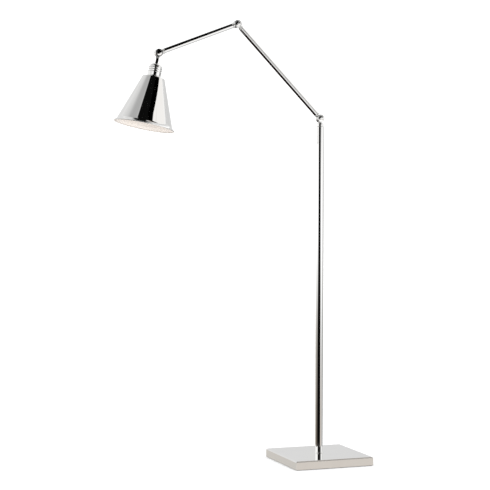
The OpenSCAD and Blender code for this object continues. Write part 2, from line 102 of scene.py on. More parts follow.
@dataclass
class Nodes:
    """A node tree with short calls for the nodes that this script uses."""

    tree: bpy.types.NodeTree

    def add(self, kind: str, **settings: object) -> bpy.types.Node:
        """Adds a node.

        Args:
            kind: the node's type name.
            settings: attributes set on the node.

        Returns:
            The new node.
        """
        node = self.tree.nodes.new(kind)
        for name, value in settings.items():
            setattr(node, name, value)
        return node

    def feed(self, socket: bpy.types.NodeSocket, value: object) -> None:
        """Links a socket to an output, or sets its value.

        Args:
            socket: the input that takes the value.
            value: an output socket, or a number, colour or vector.
        """
        if isinstance(value, bpy.types.NodeSocket):
            self.tree.links.new(value, socket)
        else:
            socket.default_value = value

    def math(self, operation: str, *values: object) -> bpy.types.NodeSocket:
        """Adds a Math node.

        Args:
            operation: the node's operation.
            values: its inputs, as sockets or numbers.

        Returns:
            The node's output.
        """
        node = self.add("ShaderNodeMath", operation=operation)
        for socket, value in zip(node.inputs, values):
            self.feed(socket, value)
        return node.outputs[0]

    def vector_math(self, operation: str, *values: object) -> bpy.types.Node:
        """Adds a Vector Math node.

        Args:
            operation: the node's operation.
            values: its inputs, as sockets, vectors or numbers.

        Returns:
            The node, since its result is either a vector or a number.
        """
        node = self.add("ShaderNodeVectorMath", operation=operation)
        for socket, value in zip(node.inputs, values):
            self.feed(socket, value)
        return node

    def ramp(self, value: object, low: float, high: float, to_low: float = 0.0,
             to_high: float = 1.0) -> bpy.types.NodeSocket:
        """Adds a smooth Map Range node.

        Args:
            value: the input.
            low: where the ramp starts.
            high: where the ramp ends.
            to_low: the output at and before the start.
            to_high: the output at and after the end.

        Returns:
            The node's output.
        """
        node = self.add("ShaderNodeMapRange", interpolation_type="SMOOTHSTEP")
        for socket, given in zip(node.inputs, (value, low, high, to_low, to_high)):
            self.feed(socket, given)
        return node.outputs[0]

    def mix(self, factor: object, first: object, second: object) -> bpy.types.NodeSocket:
        """Adds a colour Mix node.

        Args:
            factor: 0 gives the first colour and 1 the second.
            first: a colour or a socket.
            second: a colour or a socket.

        Returns:
            The mixed colour.
        """
        node = self.add("ShaderNodeMix", data_type="RGBA")
        self.feed(node.inputs[0], factor)
        self.feed(node.inputs[6], first)
        self.feed(node.inputs[7], second)
        return node.outputs[2]

    def noise(self, vector: object, scale: object, detail: float = 2.0, roughness: float = 0.5
              ) -> bpy.types.NodeSocket:
        """Adds a Noise Texture node.

        Args:
            vector: where the pattern is read.
            scale: how fine it is.
            detail: how many finer layers lie over it.
            roughness: how strong the finer layers are.

        Returns:
            The pattern's factor.
        """
        node = self.add("ShaderNodeTexNoise")
        self.feed(node.inputs["Vector"], vector)
        self.feed(node.inputs["Scale"], scale)
        node.inputs["Detail"].default_value = detail
        node.inputs["Roughness"].default_value = roughness
        return node.outputs[0]

    def scaled(self, vector: object, factors: Triple) -> bpy.types.NodeSocket:
        """Multiplies a vector by three factors, which stretches a pattern along the axes."""
        return self.vector_math("MULTIPLY", vector, factors).outputs[0]


def rgba(colour: Colour) -> tuple[float, float, float, float]:
    """Gives a colour an alpha of one."""
    return (*colour, 1.0)


def new_group(name: str, inputs: dict[str, float], outputs: dict[str, str]
              ) -> tuple[bpy.types.NodeTree, Nodes, bpy.types.Node, bpy.types.Node]:
    """Starts a shader node group that reads a vector and some numbers.

    Args:
        name: the group's name.
        inputs: the default of each number it reads, by name.
        outputs: the socket type of each thing it puts out, by name.

    Returns:
        The group, its node helper, its input node and its output node.
    """
    group = bpy.data.node_groups.new(name, "ShaderNodeTree")
    group.interface.new_socket("Vector", in_out="INPUT", socket_type="NodeSocketVector")
    for label, default in inputs.items():
        socket = group.interface.new_socket(label, in_out="INPUT", socket_type="NodeSocketFloat")
        socket.default_value = default
    for label, kind in outputs.items():
        group.interface.new_socket(label, in_out="OUTPUT", socket_type=kind)
    nodes = Nodes(group)
    return group, nodes, nodes.add("NodeGroupInput"), nodes.add("NodeGroupOutput")


def polish_group() -> bpy.types.NodeTree:
    """Buffed metal: fine lines round or along a piece, soft haze, and the faint ripple of the sheet.

    Returns:
        The node group.
    """
    group, nodes, given, out = new_group(
        "buffed_polish",
        {"Haze": 0.05, "Lines": 1.0, "Ripple": 1.0},
        {"Roughness": "NodeSocketFloat", "Height": "NodeSocketFloat", "Tone": "NodeSocketFloat"},
    )
    place = given.outputs["Vector"]
    fine = nodes.noise(nodes.scaled(place, (40.0, 40.0, 1500.0)), 1.0, 3.0, 0.6)
    smear = nodes.noise(place, 14.0, 4.0, 0.55)
    cloud = nodes.ramp(smear, 0.42, 0.72)
    ripple = nodes.noise(nodes.scaled(place, (9.0, 9.0, 5.0)), 1.0, 1.0, 0.4)
    haze = nodes.math("MULTIPLY", given.outputs["Haze"], nodes.math("ADD", 0.55, cloud))
    grain = nodes.math("MULTIPLY", nodes.math("SUBTRACT", fine, 0.5), 0.02)
    rough = nodes.math("ADD", haze, nodes.math("MULTIPLY", grain, given.outputs["Lines"]))
    nodes.feed(out.inputs["Roughness"], nodes.math("MAXIMUM", rough, 0.015))
    lines = nodes.math("MULTIPLY", fine, nodes.math("MULTIPLY", given.outputs["Lines"], 0.02))
    swell = nodes.math("MULTIPLY", ripple, given.outputs["Ripple"])
    nodes.feed(out.inputs["Height"], nodes.math("ADD", lines, swell))
    nodes.feed(out.inputs["Tone"], cloud)
    return group


def grit_group() -> bpy.types.NodeTree:
    """Fine grain and blotches, for castings, felt, porcelain and moulded pieces.

    Returns:
        The node group.
    """
    group, nodes, given, out = new_group(
        "grit",
        {"Grain": 900.0, "Blotch": 25.0},
        {"Height": "NodeSocketFloat", "Mask": "NodeSocketFloat"},
    )
    place = given.outputs["Vector"]
    blotch = nodes.noise(place, given.outputs["Blotch"])
    nodes.feed(out.inputs["Height"], nodes.noise(place, given.outputs["Grain"], 3.0))
    nodes.feed(out.inputs["Mask"], nodes.ramp(blotch, 0.35, 0.7))
    return group


@dataclass
class Groups:
    """The node groups that several finishes share, each built once."""

    polish: bpy.types.NodeTree = field(default_factory=polish_group)
    grit: bpy.types.NodeTree = field(default_factory=grit_group)


@dataclass(frozen=True)
class Direction:
    """Where a turned piece's own axis lies, so that a pattern can follow it.

    Attributes:
        origin: a point on the axis.
        tilt: how far the axis is turned about Y from straight up, in radians.
    """

    origin: Triple = (0.0, 0.0, 0.0)
    tilt: float = 0.0

    def matrix(self) -> Matrix:
        """Places a shape made along +Z at the origin."""
        return Matrix.Translation(self.origin) @ Matrix.Rotation(self.tilt, 4, "Y")


def own_place(nodes: Nodes, direction: Direction) -> bpy.types.NodeSocket:
    """Object coordinates turned into a piece's own frame, its axis along Z.

    Args:
        nodes: the material's nodes.
        direction: the piece's frame.

    Returns:
        The coordinates.
    """
    coordinates = nodes.add("ShaderNodeTexCoord")
    mapping = nodes.add("ShaderNodeMapping", vector_type="TEXTURE")
    nodes.feed(mapping.inputs["Vector"], coordinates.outputs["Object"])
    mapping.inputs["Location"].default_value = direction.origin
    mapping.inputs["Rotation"].default_value = (0.0, direction.tilt, 0.0)
    return mapping.outputs[0]


def start_material(name: str) -> tuple[bpy.types.Material, Nodes, bpy.types.Node]:
    """Makes a material with a Principled shader.

    Args:
        name: the material's name.

    Returns:
        The material, its node helper and its shader.
    """
    material = bpy.data.materials.new(name)
    material.use_nodes = True
    nodes = Nodes(material.node_tree)
    return material, nodes, material.node_tree.nodes["Principled BSDF"]


@dataclass(frozen=True)
class PolishedMetal:
    """Plated and buffed metal, with faint lines, haze and ripple.

    Attributes:
        name: the finish's name.
        colour: the plating's own colour.
        deep: its colour where haze lies.
        haze: the roughness.
        lines: strength of the buffing lines.
        ripple: strength of the sheet's ripple.
        bump: height of the relief, in metres.
    """

    name: str
    colour: Colour
    deep: Colour
    haze: float = 0.035
    lines: float = 1.0
    ripple: float = 1.0
    bump: float = 0.00006

    def make(self, groups: Groups, direction: Direction, label: str) -> bpy.types.Material:
        """Builds the material.

        Args:
            groups: the shared node groups.
            direction: the piece's own frame.
            label: added to the material's name.

        Returns:
            The material.
        """
        material, nodes, shader = start_material(f"{self.name}_{label}")
        effect = nodes.add("ShaderNodeGroup", node_tree=groups.polish)
        nodes.feed(effect.inputs["Vector"], own_place(nodes, direction))
        effect.inputs["Haze"].default_value = self.haze
        effect.inputs["Lines"].default_value = self.lines
        effect.inputs["Ripple"].default_value = self.ripple
        tone = nodes.mix(effect.outputs["Tone"], rgba(self.colour), rgba(self.deep))
        bump = nodes.add("ShaderNodeBump")
        bump.inputs["Strength"].default_value = 1.0
        bump.inputs["Distance"].default_value = self.bump
        nodes.feed(bump.inputs["Height"], effect.outputs["Height"])
        nodes.feed(shader.inputs["Base Color"], tone)
        nodes.feed(shader.inputs["Roughness"], effect.outputs["Roughness"])
        nodes.feed(shader.inputs["Normal"], bump.outputs[0])
        shader.inputs["Metallic"].default_value = 1.0
        return material


@dataclass(frozen=True)
class Grainy:
    """A moulded, cast, glazed or felted finish with fine grain and soft blotches.

    Attributes:
        name: the finish's name.
        colour: the main colour.
        other: the colour in the blotches.
        roughness: the roughness outside the blotches.
        worn: the roughness inside them.
        metallic: one for bare metal.
        coat: weight of a clear glaze.
        sheen: weight of the fuzz on cloth.
        grain: how fine the grain is.
        bump: height of the grain, in metres.
    """

    name: str
    colour: Colour
    other: Colour
    roughness: float = 0.5
    worn: float = 0.6
    metallic: float = 0.0
    coat: float = 0.0
    sheen: float = 0.0
    grain: float = 900.0
    bump: float = 0.0001

    def make(self, groups: Groups) -> bpy.types.Material:
        """Builds the material.

        Args:
            groups: the shared node groups.

        Returns:
            The material.
        """
        material, nodes, shader = start_material(self.name)
        effect = nodes.add("ShaderNodeGroup", node_tree=groups.grit)
        nodes.feed(effect.inputs["Vector"], own_place(nodes, Direction()))
        effect.inputs["Grain"].default_value = self.grain
        bump = nodes.add("ShaderNodeBump")
        bump.inputs["Distance"].default_value = self.bump
        nodes.feed(bump.inputs["Height"], effect.outputs["Height"])
        mask = effect.outputs["Mask"]
        nodes.feed(shader.inputs["Base Color"], nodes.mix(mask, rgba(self.colour), rgba(self.other)))
        nodes.feed(shader.inputs["Roughness"], nodes.ramp(mask, 0.0, 1.0, self.roughness, self.worn))
        nodes.feed(shader.inputs["Normal"], bump.outputs[0])
        shader.inputs["Metallic"].default_value = self.metallic
        shader.inputs["Coat Weight"].default_value = self.coat
        shader.inputs["Sheen Weight"].default_value = self.sheen
        return material


@dataclass(frozen=True)
class EtchedGlass:
    """Glass of a bulb, etched inside so that it looks milky.

    Attributes:
        name: the finish's name.
        colour: the main colour.
        other: the colour in the blotches.
        roughness: the roughness outside the blotches.
        worn: the roughness inside them.
        transmission: how much light goes through.
        index: the glass's index of refraction.
        grain: how fine the etching is.
    """

    name: str = "etched_glass"
    colour: Colour = (0.97, 0.96, 0.93)
    other: Colour = (0.93, 0.92, 0.90)
    roughness: float = 0.32
    worn: float = 0.42
    transmission: float = 0.35
    index: float = 1.5
    grain: float = 400.0

    def make(self, groups: Groups) -> bpy.types.Material:
        """Builds the material.

        Args:
            groups: the shared node groups.

        Returns:
            The material.
        """
        material, nodes, shader = start_material(self.name)
        effect = nodes.add("ShaderNodeGroup", node_tree=groups.grit)
        nodes.feed(effect.inputs["Vector"], own_place(nodes, Direction()))
        effect.inputs["Grain"].default_value = self.grain
        mask = effect.outputs["Mask"]
        nodes.feed(shader.inputs["Base Color"], nodes.mix(mask, rgba(self.colour), rgba(self.other)))
        nodes.feed(shader.inputs["Roughness"], nodes.ramp(mask, 0.0, 1.0, self.roughness, self.worn))
        shader.inputs["Transmission Weight"].default_value = self.transmission
        shader.inputs["IOR"].default_value = self.index
        return material


NICKEL = PolishedMetal("polished_nickel", (0.875, 0.872, 0.862), (0.860, 0.856, 0.845), haze=0.022)
BRASS = PolishedMetal("turned_brass", (0.74, 0.56, 0.27), (0.66, 0.48, 0.22), haze=0.22, lines=3.0)
ZINC = PolishedMetal("zinc_plate", (0.62, 0.64, 0.68), (0.56, 0.57, 0.60), haze=0.30, lines=2.0)
ALUMINIUM = PolishedMetal("rolled_aluminium", (0.78, 0.78, 0.79), (0.70, 0.70, 0.72), haze=0.25)
# Shade's inside: off-white enamel, its colours tinted peach and a little darker; the tint is painted warm light
# and shade from inside the shade
ENAMEL_WITH_PAINTED_WARM_LIGHT = Grainy("white_enamel", (0.84, 0.78, 0.73), (0.82, 0.76, 0.70), 0.22, 0.3, coat=0.4,
                grain=300.0, bump=0.00004)
CAST_IRON = Grainy("cast_iron", (0.06, 0.06, 0.065), (0.10, 0.09, 0.085), 0.6, 0.75, 0.6,
                   grain=700.0, bump=0.0003)
FELT = Grainy("dark_felt", (0.035, 0.037, 0.042), (0.05, 0.05, 0.055), 0.95, 0.9, sheen=0.5,
              grain=1600.0, bump=0.0005)
BLACK_PLASTIC = Grainy("black_bush", (0.02, 0.02, 0.02), (0.03, 0.03, 0.03), 0.45, 0.55)
INSULATION = Grainy("wire_insulation", (0.02, 0.02, 0.022), (0.03, 0.03, 0.03), 0.5, 0.6)
FIBRE = Grainy("pressed_fibre", (0.14, 0.12, 0.10), (0.18, 0.15, 0.12), 0.85, 0.9, grain=1400.0)
PORCELAIN = Grainy("glazed_porcelain", (0.88, 0.87, 0.84), (0.85, 0.83, 0.79), 0.15, 0.22, coat=0.6)
WHITE_PLASTIC = Grainy("white_moulding", (0.83, 0.82, 0.78), (0.80, 0.78, 0.74), 0.38, 0.45)
GLASS = EtchedGlass()


# ---------------------------------------------------------------------------------------------
# Mesh helpers
# ---------------------------------------------------------------------------------------------


def arc(centre: tuple[float, float], radius: float, start: float, end: float, steps: int) -> Outline:
    """Points along an arc in the profile's plane.

    Args:
        centre: the arc's centre as (radius, height).
        radius: the arc's own radius.
        start: its first angle in degrees, from the outward direction.
        end: its last angle in degrees.
        steps: how many stretches it has.

    Returns:
        The points, the first and last included.
    """
    points = []
    for step in range(steps + 1):
        angle = math.radians(start + (end - start) * step / steps)
        points.append((centre[0] + radius * math.cos(angle), centre[1] + radius * math.sin(angle)))
    return points


def lathe(outline: Outline, closed: bool = False, segments: int = 128,
          rounds: dict[int, float] | None = None) -> bmesh.types.BMesh:
    """Spins an outline about Z.

    Args:
        outline: its points as (radius, height), in metres.
        closed: whether the last point joins the first, as for a ring.
        segments: how many faces go round.
        rounds: the radius of the round at each corner that gets one, by the corner's place.

    Returns:
        The turned shape, its axis along Z.
    """
    bm = bmesh.new()
    corners = [bm.verts.new((radius, 0.0, height)) for radius, height in outline]
    for first, second in zip(corners, corners[1:]):
        bm.edges.new((first, second))
    if closed:
        bm.edges.new((corners[-1], corners[0]))
    for place, radius in (rounds or {}).items():
        bmesh.ops.bevel(bm, geom=[corners[place]], offset=radius, offset_type="OFFSET", segments=4,
                        profile=0.5, affect="VERTICES", material=-1)
    bmesh.ops.spin(bm, geom=bm.verts[:] + bm.edges[:], cent=(0, 0, 0), axis=(0, 0, 1),
                   angle=math.tau, steps=segments, use_merge=True, use_duplicate=False)
    bmesh.ops.remove_doubles(bm, verts=bm.verts[:], dist=MERGE_DISTANCE)
    bmesh.ops.recalc_face_normals(bm, faces=bm.faces[:])
    return bm


def moved(bm: bmesh.types.BMesh, matrix: Matrix) -> bmesh.types.BMesh:
    """Transforms a mesh and turns it right side out again if it was mirrored.

    Args:
        bm: the mesh, which is changed.
        matrix: where it goes.

    Returns:
        The same mesh.
    """
    bmesh.ops.transform(bm, matrix=matrix, verts=bm.verts[:])
    if matrix.determinant() < 0:
        bmesh.ops.reverse_faces(bm, faces=bm.faces[:])
    return bm


def block(low: Vector, high: Vector) -> bmesh.types.BMesh:
    """A plain block between two corners.

    Args:
        low: the corner with the least coordinates.
        high: the opposite corner.

    Returns:
        The block.
    """
    bm = bmesh.new()
    size = high - low
    bmesh.ops.create_cube(bm, size=1.0, matrix=Matrix.Translation((low + high) / 2)
                          @ Matrix.Diagonal((size.x, size.y, size.z, 1.0)))
    return bm


def climb(edge: bmesh.types.BMEdge) -> float:
    """How much higher one end of an edge is than the other."""
    return abs(edge.verts[0].co.z - edge.verts[1].co.z)


def rounded(bm: bmesh.types.BMesh, edges: list[bmesh.types.BMEdge], radius: float, segments: int) -> None:
    """Rounds some edges of a mesh.

    Args:
        bm: the mesh.
        edges: the edges.
        radius: how far in the round starts.
        segments: how many faces cross it.
    """
    bmesh.ops.bevel(bm, geom=edges, offset=radius, segments=segments, profile=0.5, affect="EDGES",
                    material=-1)


def cut_off(bm: bmesh.types.BMesh, point: Triple, normal: Triple) -> None:
    """Cuts away what lies behind a plane and closes the cut.

    Args:
        bm: the mesh.
        point: a point on the plane.
        normal: the direction of the side that stays.
    """
    bmesh.ops.bisect_plane(bm, geom=bm.verts[:] + bm.edges[:] + bm.faces[:], plane_co=point,
                           plane_no=normal, clear_inner=True)
    bmesh.ops.holes_fill(bm, edges=[e for e in bm.edges if e.is_boundary])


def bead_outline(inner: float, outer: float, low: float, high: float, steps: int) -> Outline:
    """Outline of a turned bead: a half round between two narrow fillets.

    Args:
        inner: radius of its bore.
        outer: its largest radius.
        low: its lower end.
        high: its upper end.
        steps: how many stretches the half round has.

    Returns:
        The closed outline.
    """
    bulge = (high - low) * (0.5 - BEAD_FILLET)
    middle = outer - bulge
    half_round = arc((middle, (low + high) / 2), bulge, -90, 90, steps)
    return [(inner, low), (middle, low)] + half_round + [(middle, high), (inner, high)]


def linked(name: str, bm: bmesh.types.BMesh,
           materials: tuple[bpy.types.Material, ...] = ()) -> bpy.types.Object:
    """Turns a finished mesh into an object of the scene.

    Args:
        name: the object's name.
        bm: the mesh, which is freed.
        materials: the object's materials.

    Returns:
        The object.
    """
    mesh = bpy.data.meshes.new(name)
    bm.to_mesh(mesh)
    bm.free()
    for material in materials:
        mesh.materials.append(material)
    item = bpy.data.objects.new(name, mesh)
    bpy.context.scene.collection.objects.link(item)
    return item


def joined(*parts: bmesh.types.BMesh) -> bmesh.types.BMesh:
    """Puts several meshes into one.

    Args:
        parts: the meshes, which are freed.

    Returns:
        One mesh with all of their faces.
    """
    whole = bmesh.new()
    for part in parts:
        mesh = bpy.data.meshes.new("part")
        part.to_mesh(mesh)
        part.free()
        whole.from_mesh(mesh)
        bpy.data.meshes.remove(mesh)
    return whole


def fused(*parts: bmesh.types.BMesh) -> bmesh.types.BMesh:
    """Unites overlapping closed meshes into one closed mesh.

    Args:
        parts: the meshes, which are freed.

    Returns:
        Their union.
    """
    objects = [linked("fused_part", part) for part in parts]
    first, others = objects[0], objects[1:]
    for other in others:
        union = first.modifiers.new("union", "BOOLEAN")
        union.operation = "UNION"
        union.solver = "EXACT"
        union.object = other
    bpy.context.view_layer.update()
    evaluated = first.evaluated_get(bpy.context.evaluated_depsgraph_get())
    result = bmesh.new()
    result.from_mesh(evaluated.to_mesh())
    evaluated.to_mesh_clear()
    for item in objects:
        mesh = item.data
        bpy.data.objects.remove(item)
        bpy.data.meshes.remove(mesh)
    bmesh.ops.remove_doubles(result, verts=result.verts[:], dist=MERGE_DISTANCE)
    return result


@dataclass
class Piece:
    """One finished, visible piece of the lamp.

    Attributes:
        name: the object's name.
        body: the CAD body it rides on.
        slot: the record's material slot.
        replaces: the CAD nodes that it stands for.
        materials: its materials, in the order of the mesh's material places.
    """

    name: str
    body: str
    slot: Slot
    replaces: tuple[str, ...]
    materials: tuple[bpy.types.Material, ...]

    def build(self, bm: bmesh.types.BMesh, sharp_degrees: float = 35.0) -> bpy.types.Object:
        """Makes the object, shades it smooth and ties it to the frame.

        Args:
            bm: the finished mesh, which is freed.
            sharp_degrees: edges that turn by more than this stay crisp.

        Returns:
            The object.
        """
        item = linked(self.name, bm, self.materials)
        for polygon in item.data.polygons:
            polygon.use_smooth = True
        item.data.set_sharp_from_angle(angle=math.radians(sharp_degrees))
        weighted = item.modifiers.new("weighted_normals", "WEIGHTED_NORMAL")
        weighted.keep_sharp = True
        weighted.weight = 80
        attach(item, self.body)
        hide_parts(*self.replaces)
        LOG.info("%s: %d faces, on %s", self.name, len(item.data.polygons), self.body)
        return item


def dress(node: str, material: bpy.types.Material) -> None:
    """Gives a CAD node that stays its material.

    Args:
        node: the node's name.
        material: the material for all of its faces.
    """
    item = frame["nodes"][node]
    if not item.material_slots:
        item.data.materials.append(material)
    for place in item.material_slots:
        place.material = material
    LOG.info("%s: CAD node dressed in %s", node, material.name)


# ---------------------------------------------------------------------------------------------
# Places that the frame gives
# ---------------------------------------------------------------------------------------------


@dataclass
class Layout:
    """The lamp's pivots and directions, read from the frame's joints and nodes."""

    knuckle: Vector
    elbow: Vector
    head: Vector
    base_top: float
    pole_radius: float
    pole_top: float
    head_tilt: float

    @classmethod
    def read(cls) -> "Layout":
        """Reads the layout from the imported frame.

        Returns:
            The layout.
        """
        pivots = {joint["name"]: Vector(joint["pos_m"]) for joint in frame["joints"]}
        pole_low, pole_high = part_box("pole_tube")
        shell_low, shell_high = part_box("lampholder_shell")
        down = (shell_low + shell_high) / 2 - pivots["head_tilt"]
        return cls(
            knuckle=pivots["lower_knuckle"],
            elbow=pivots["elbow"],
            head=pivots["head_tilt"],
            base_top=pole_low.z,
            pole_radius=(pole_high.y - pole_low.y) / 2,
            pole_top=pole_high.z,
            head_tilt=math.atan2(-down.x, -down.z),
        )

    @staticmethod
    def along(start: Vector, end: Vector) -> Direction:
        """The frame whose own +Z runs from one pivot to another, turned about Y."""
        reach = end - start
        return Direction(tuple(start), math.atan2(reach.x, reach.z))

    @property
    def lower_arm(self) -> Direction:
        """The lower arm's frame, from the lower knuckle."""
        return self.along(self.knuckle, self.elbow)

    @property
    def upper_arm(self) -> Direction:
        """The upper arm's frame, from the elbow."""
        return self.along(self.elbow, self.head)

    @property
    def stem(self) -> Direction:
        """The head's frame: its own +Z runs up along the stem, and the head pivot is at zero."""
        return Direction(tuple(self.head), self.head_tilt)


# ---------------------------------------------------------------------------------------------
# Base
# ---------------------------------------------------------------------------------------------


@dataclass
class Base:
    """Weighted square base: plated cover, felt pad, foot ring and cord grommet."""

    layout: Layout
    groups: Groups
    bevel: float = 3.0 * MM
    corner: float = 2.0 * MM
    soft_edge: float = 0.35 * MM
    wall: float = 1.5 * MM
    pad_edge: float = 0.4 * MM
    ring_out: float = 1.7 * MM
    ring_height: float = 3.0 * MM
    ring_sink: float = 0.2 * MM
    ring_edge: float = 0.3 * MM
    ring_round: float = 1.4 * MM
    bush_flange: float = 6.0 * MM
    bush_shank: float = 4.4 * MM
    bush_bore: float = 2.7 * MM
    bush_lip: float = 1.5 * MM
    bush_round: float = 0.6 * MM
    underside_area: float = 0.01

    def build(self) -> None:
        """Builds every visible piece of the base."""
        nickel = NICKEL.make(self.groups, Direction(), "base")
        self.build_cover(nickel)
        self.build_pad(FELT.make(self.groups))
        self.build_ring(nickel)
        self.build_grommet(BLACK_PLASTIC.make(self.groups))

    def build_cover(self, material: bpy.types.Material) -> None:
        """Pressed cover: rounded corners, a flat bevel round its top, open underneath.

        Args:
            material: its finish.
        """
        low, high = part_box("base_cover")
        shoulder = high.z - self.bevel
        bm = block(low, Vector((high.x, high.y, shoulder)))
        rounded(bm, [e for e in bm.edges if climb(e) > self.bevel], self.corner, 5)
        lid = [f for f in bm.faces if f.normal.z > FACING]
        raised = bmesh.ops.extrude_face_region(bm, geom=lid)["geom"]
        bmesh.ops.delete(bm, geom=lid, context="FACES_ONLY")
        top = [v for v in raised if isinstance(v, bmesh.types.BMVert)]
        for side_x in (-1, 1):
            for side_y in (-1, 1):
                corner = [v for v in top if v.co.x * side_x > 0 and v.co.y * side_y > 0]
                bmesh.ops.translate(bm, verts=corner,
                                    vec=(-side_x * self.bevel, -side_y * self.bevel, self.bevel))
        edges = [e for e in bm.edges
                 if all(v.co.z > shoulder - MERGE_DISTANCE for v in e.verts)
                 and climb(e) < MERGE_DISTANCE]
        rounded(bm, edges, self.soft_edge, 3)
        underside = [f for f in bm.faces if f.normal.z < -FACING and f.calc_area() > self.underside_area]
        bmesh.ops.delete(bm, geom=underside, context="FACES_ONLY")
        bmesh.ops.recalc_face_normals(bm, faces=bm.faces[:])
        if sum(f.normal.z * f.calc_area() for f in bm.faces) < 0:
            bmesh.ops.reverse_faces(bm, faces=bm.faces[:])
        bmesh.ops.solidify(bm, geom=bm.faces[:], thickness=self.wall)
        Piece("base_cover_shell", "stand", Slot.NICKEL, ("base_cover",), (material,)).build(bm)

    def build_pad(self, material: bpy.types.Material) -> None:
        """Felt pad under the base, its cut edge slightly rounded.

        Args:
            material: its finish.
        """
        low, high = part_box("base_pad")
        bm = block(low, high)
        rounded(bm, [e for e in bm.edges if climb(e) > self.pad_edge], self.corner, 5)
        rims = [e for e in bm.edges if climb(e) < MERGE_DISTANCE
                and abs(e.link_faces[0].normal.z) + abs(e.link_faces[1].normal.z) < 1.5]
        rounded(bm, rims, self.pad_edge, 3)
        Piece("felt_pad", "stand", Slot.FELT, ("base_pad",), (material,)).build(bm)

    def build_ring(self, material: bpy.types.Material) -> None:
        """Turned ring round the pole's foot.

        Args:
            material: its finish.
        """
        inner = self.layout.pole_radius - self.ring_sink
        outer = self.layout.pole_radius + self.ring_out
        height = self.ring_height
        outline = [(inner, 0.0), (outer, 0.0), (outer, height), (inner, height)]
        bm = lathe(outline, closed=True, rounds={1: self.ring_edge, 2: self.ring_round})
        moved(bm, Matrix.Translation((0.0, 0.0, self.layout.base_top)))
        Piece("pole_foot_ring", "stand", Slot.NICKEL, ("foot_ring",), (material,)).build(bm)

    def build_grommet(self, material: bpy.types.Material) -> None:
        """Bush in the back of the base where the cord would leave.

        Args:
            material: its finish.
        """
        low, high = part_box("cord_grommet")
        centre_z = high.z - (high.x - low.x) / 2
        depth = high.y - low.y
        seat = depth - self.bush_lip
        outline = [(self.bush_bore, 0.0), (self.bush_shank, 0.0), (self.bush_shank, seat),
                   (self.bush_flange, seat), (self.bush_flange, depth), (self.bush_bore, depth)]
        bm = lathe(outline, closed=True, segments=64, rounds={4: self.bush_round, 5: self.bush_round})
        moved(bm, Matrix.Translation((0.0, low.y, centre_z)) @ Matrix.Rotation(-math.pi / 2, 4, "X"))
        cut_off(bm, (0.0, 0.0, low.z), (0.0, 0.0, 1.0))
        Piece("cord_bush", "stand", Slot.BLACK_PLASTIC, ("cord_grommet",), (material,)).build(bm)


# ---------------------------------------------------------------------------------------------
# Pole and knuckles
# ---------------------------------------------------------------------------------------------


@dataclass
class Pole:
    """Straight tube of the stand."""

    layout: Layout
    groups: Groups
    wall: float = 1.5 * MM
    edge: float = 0.3 * MM

    def build(self) -> None:
        """Builds the tube."""
        material = NICKEL.make(self.groups, Direction(), "pole")
        outer, low, high = self.layout.pole_radius, self.layout.base_top, self.layout.pole_top
        inner = outer - self.wall
        outline = [(inner, low), (outer, low), (outer, high), (inner, high)]
        bm = lathe(outline, closed=True, rounds={2: self.edge})
        Piece("pole", "stand", Slot.NICKEL, ("pole_tube",), (material,)).build(bm)


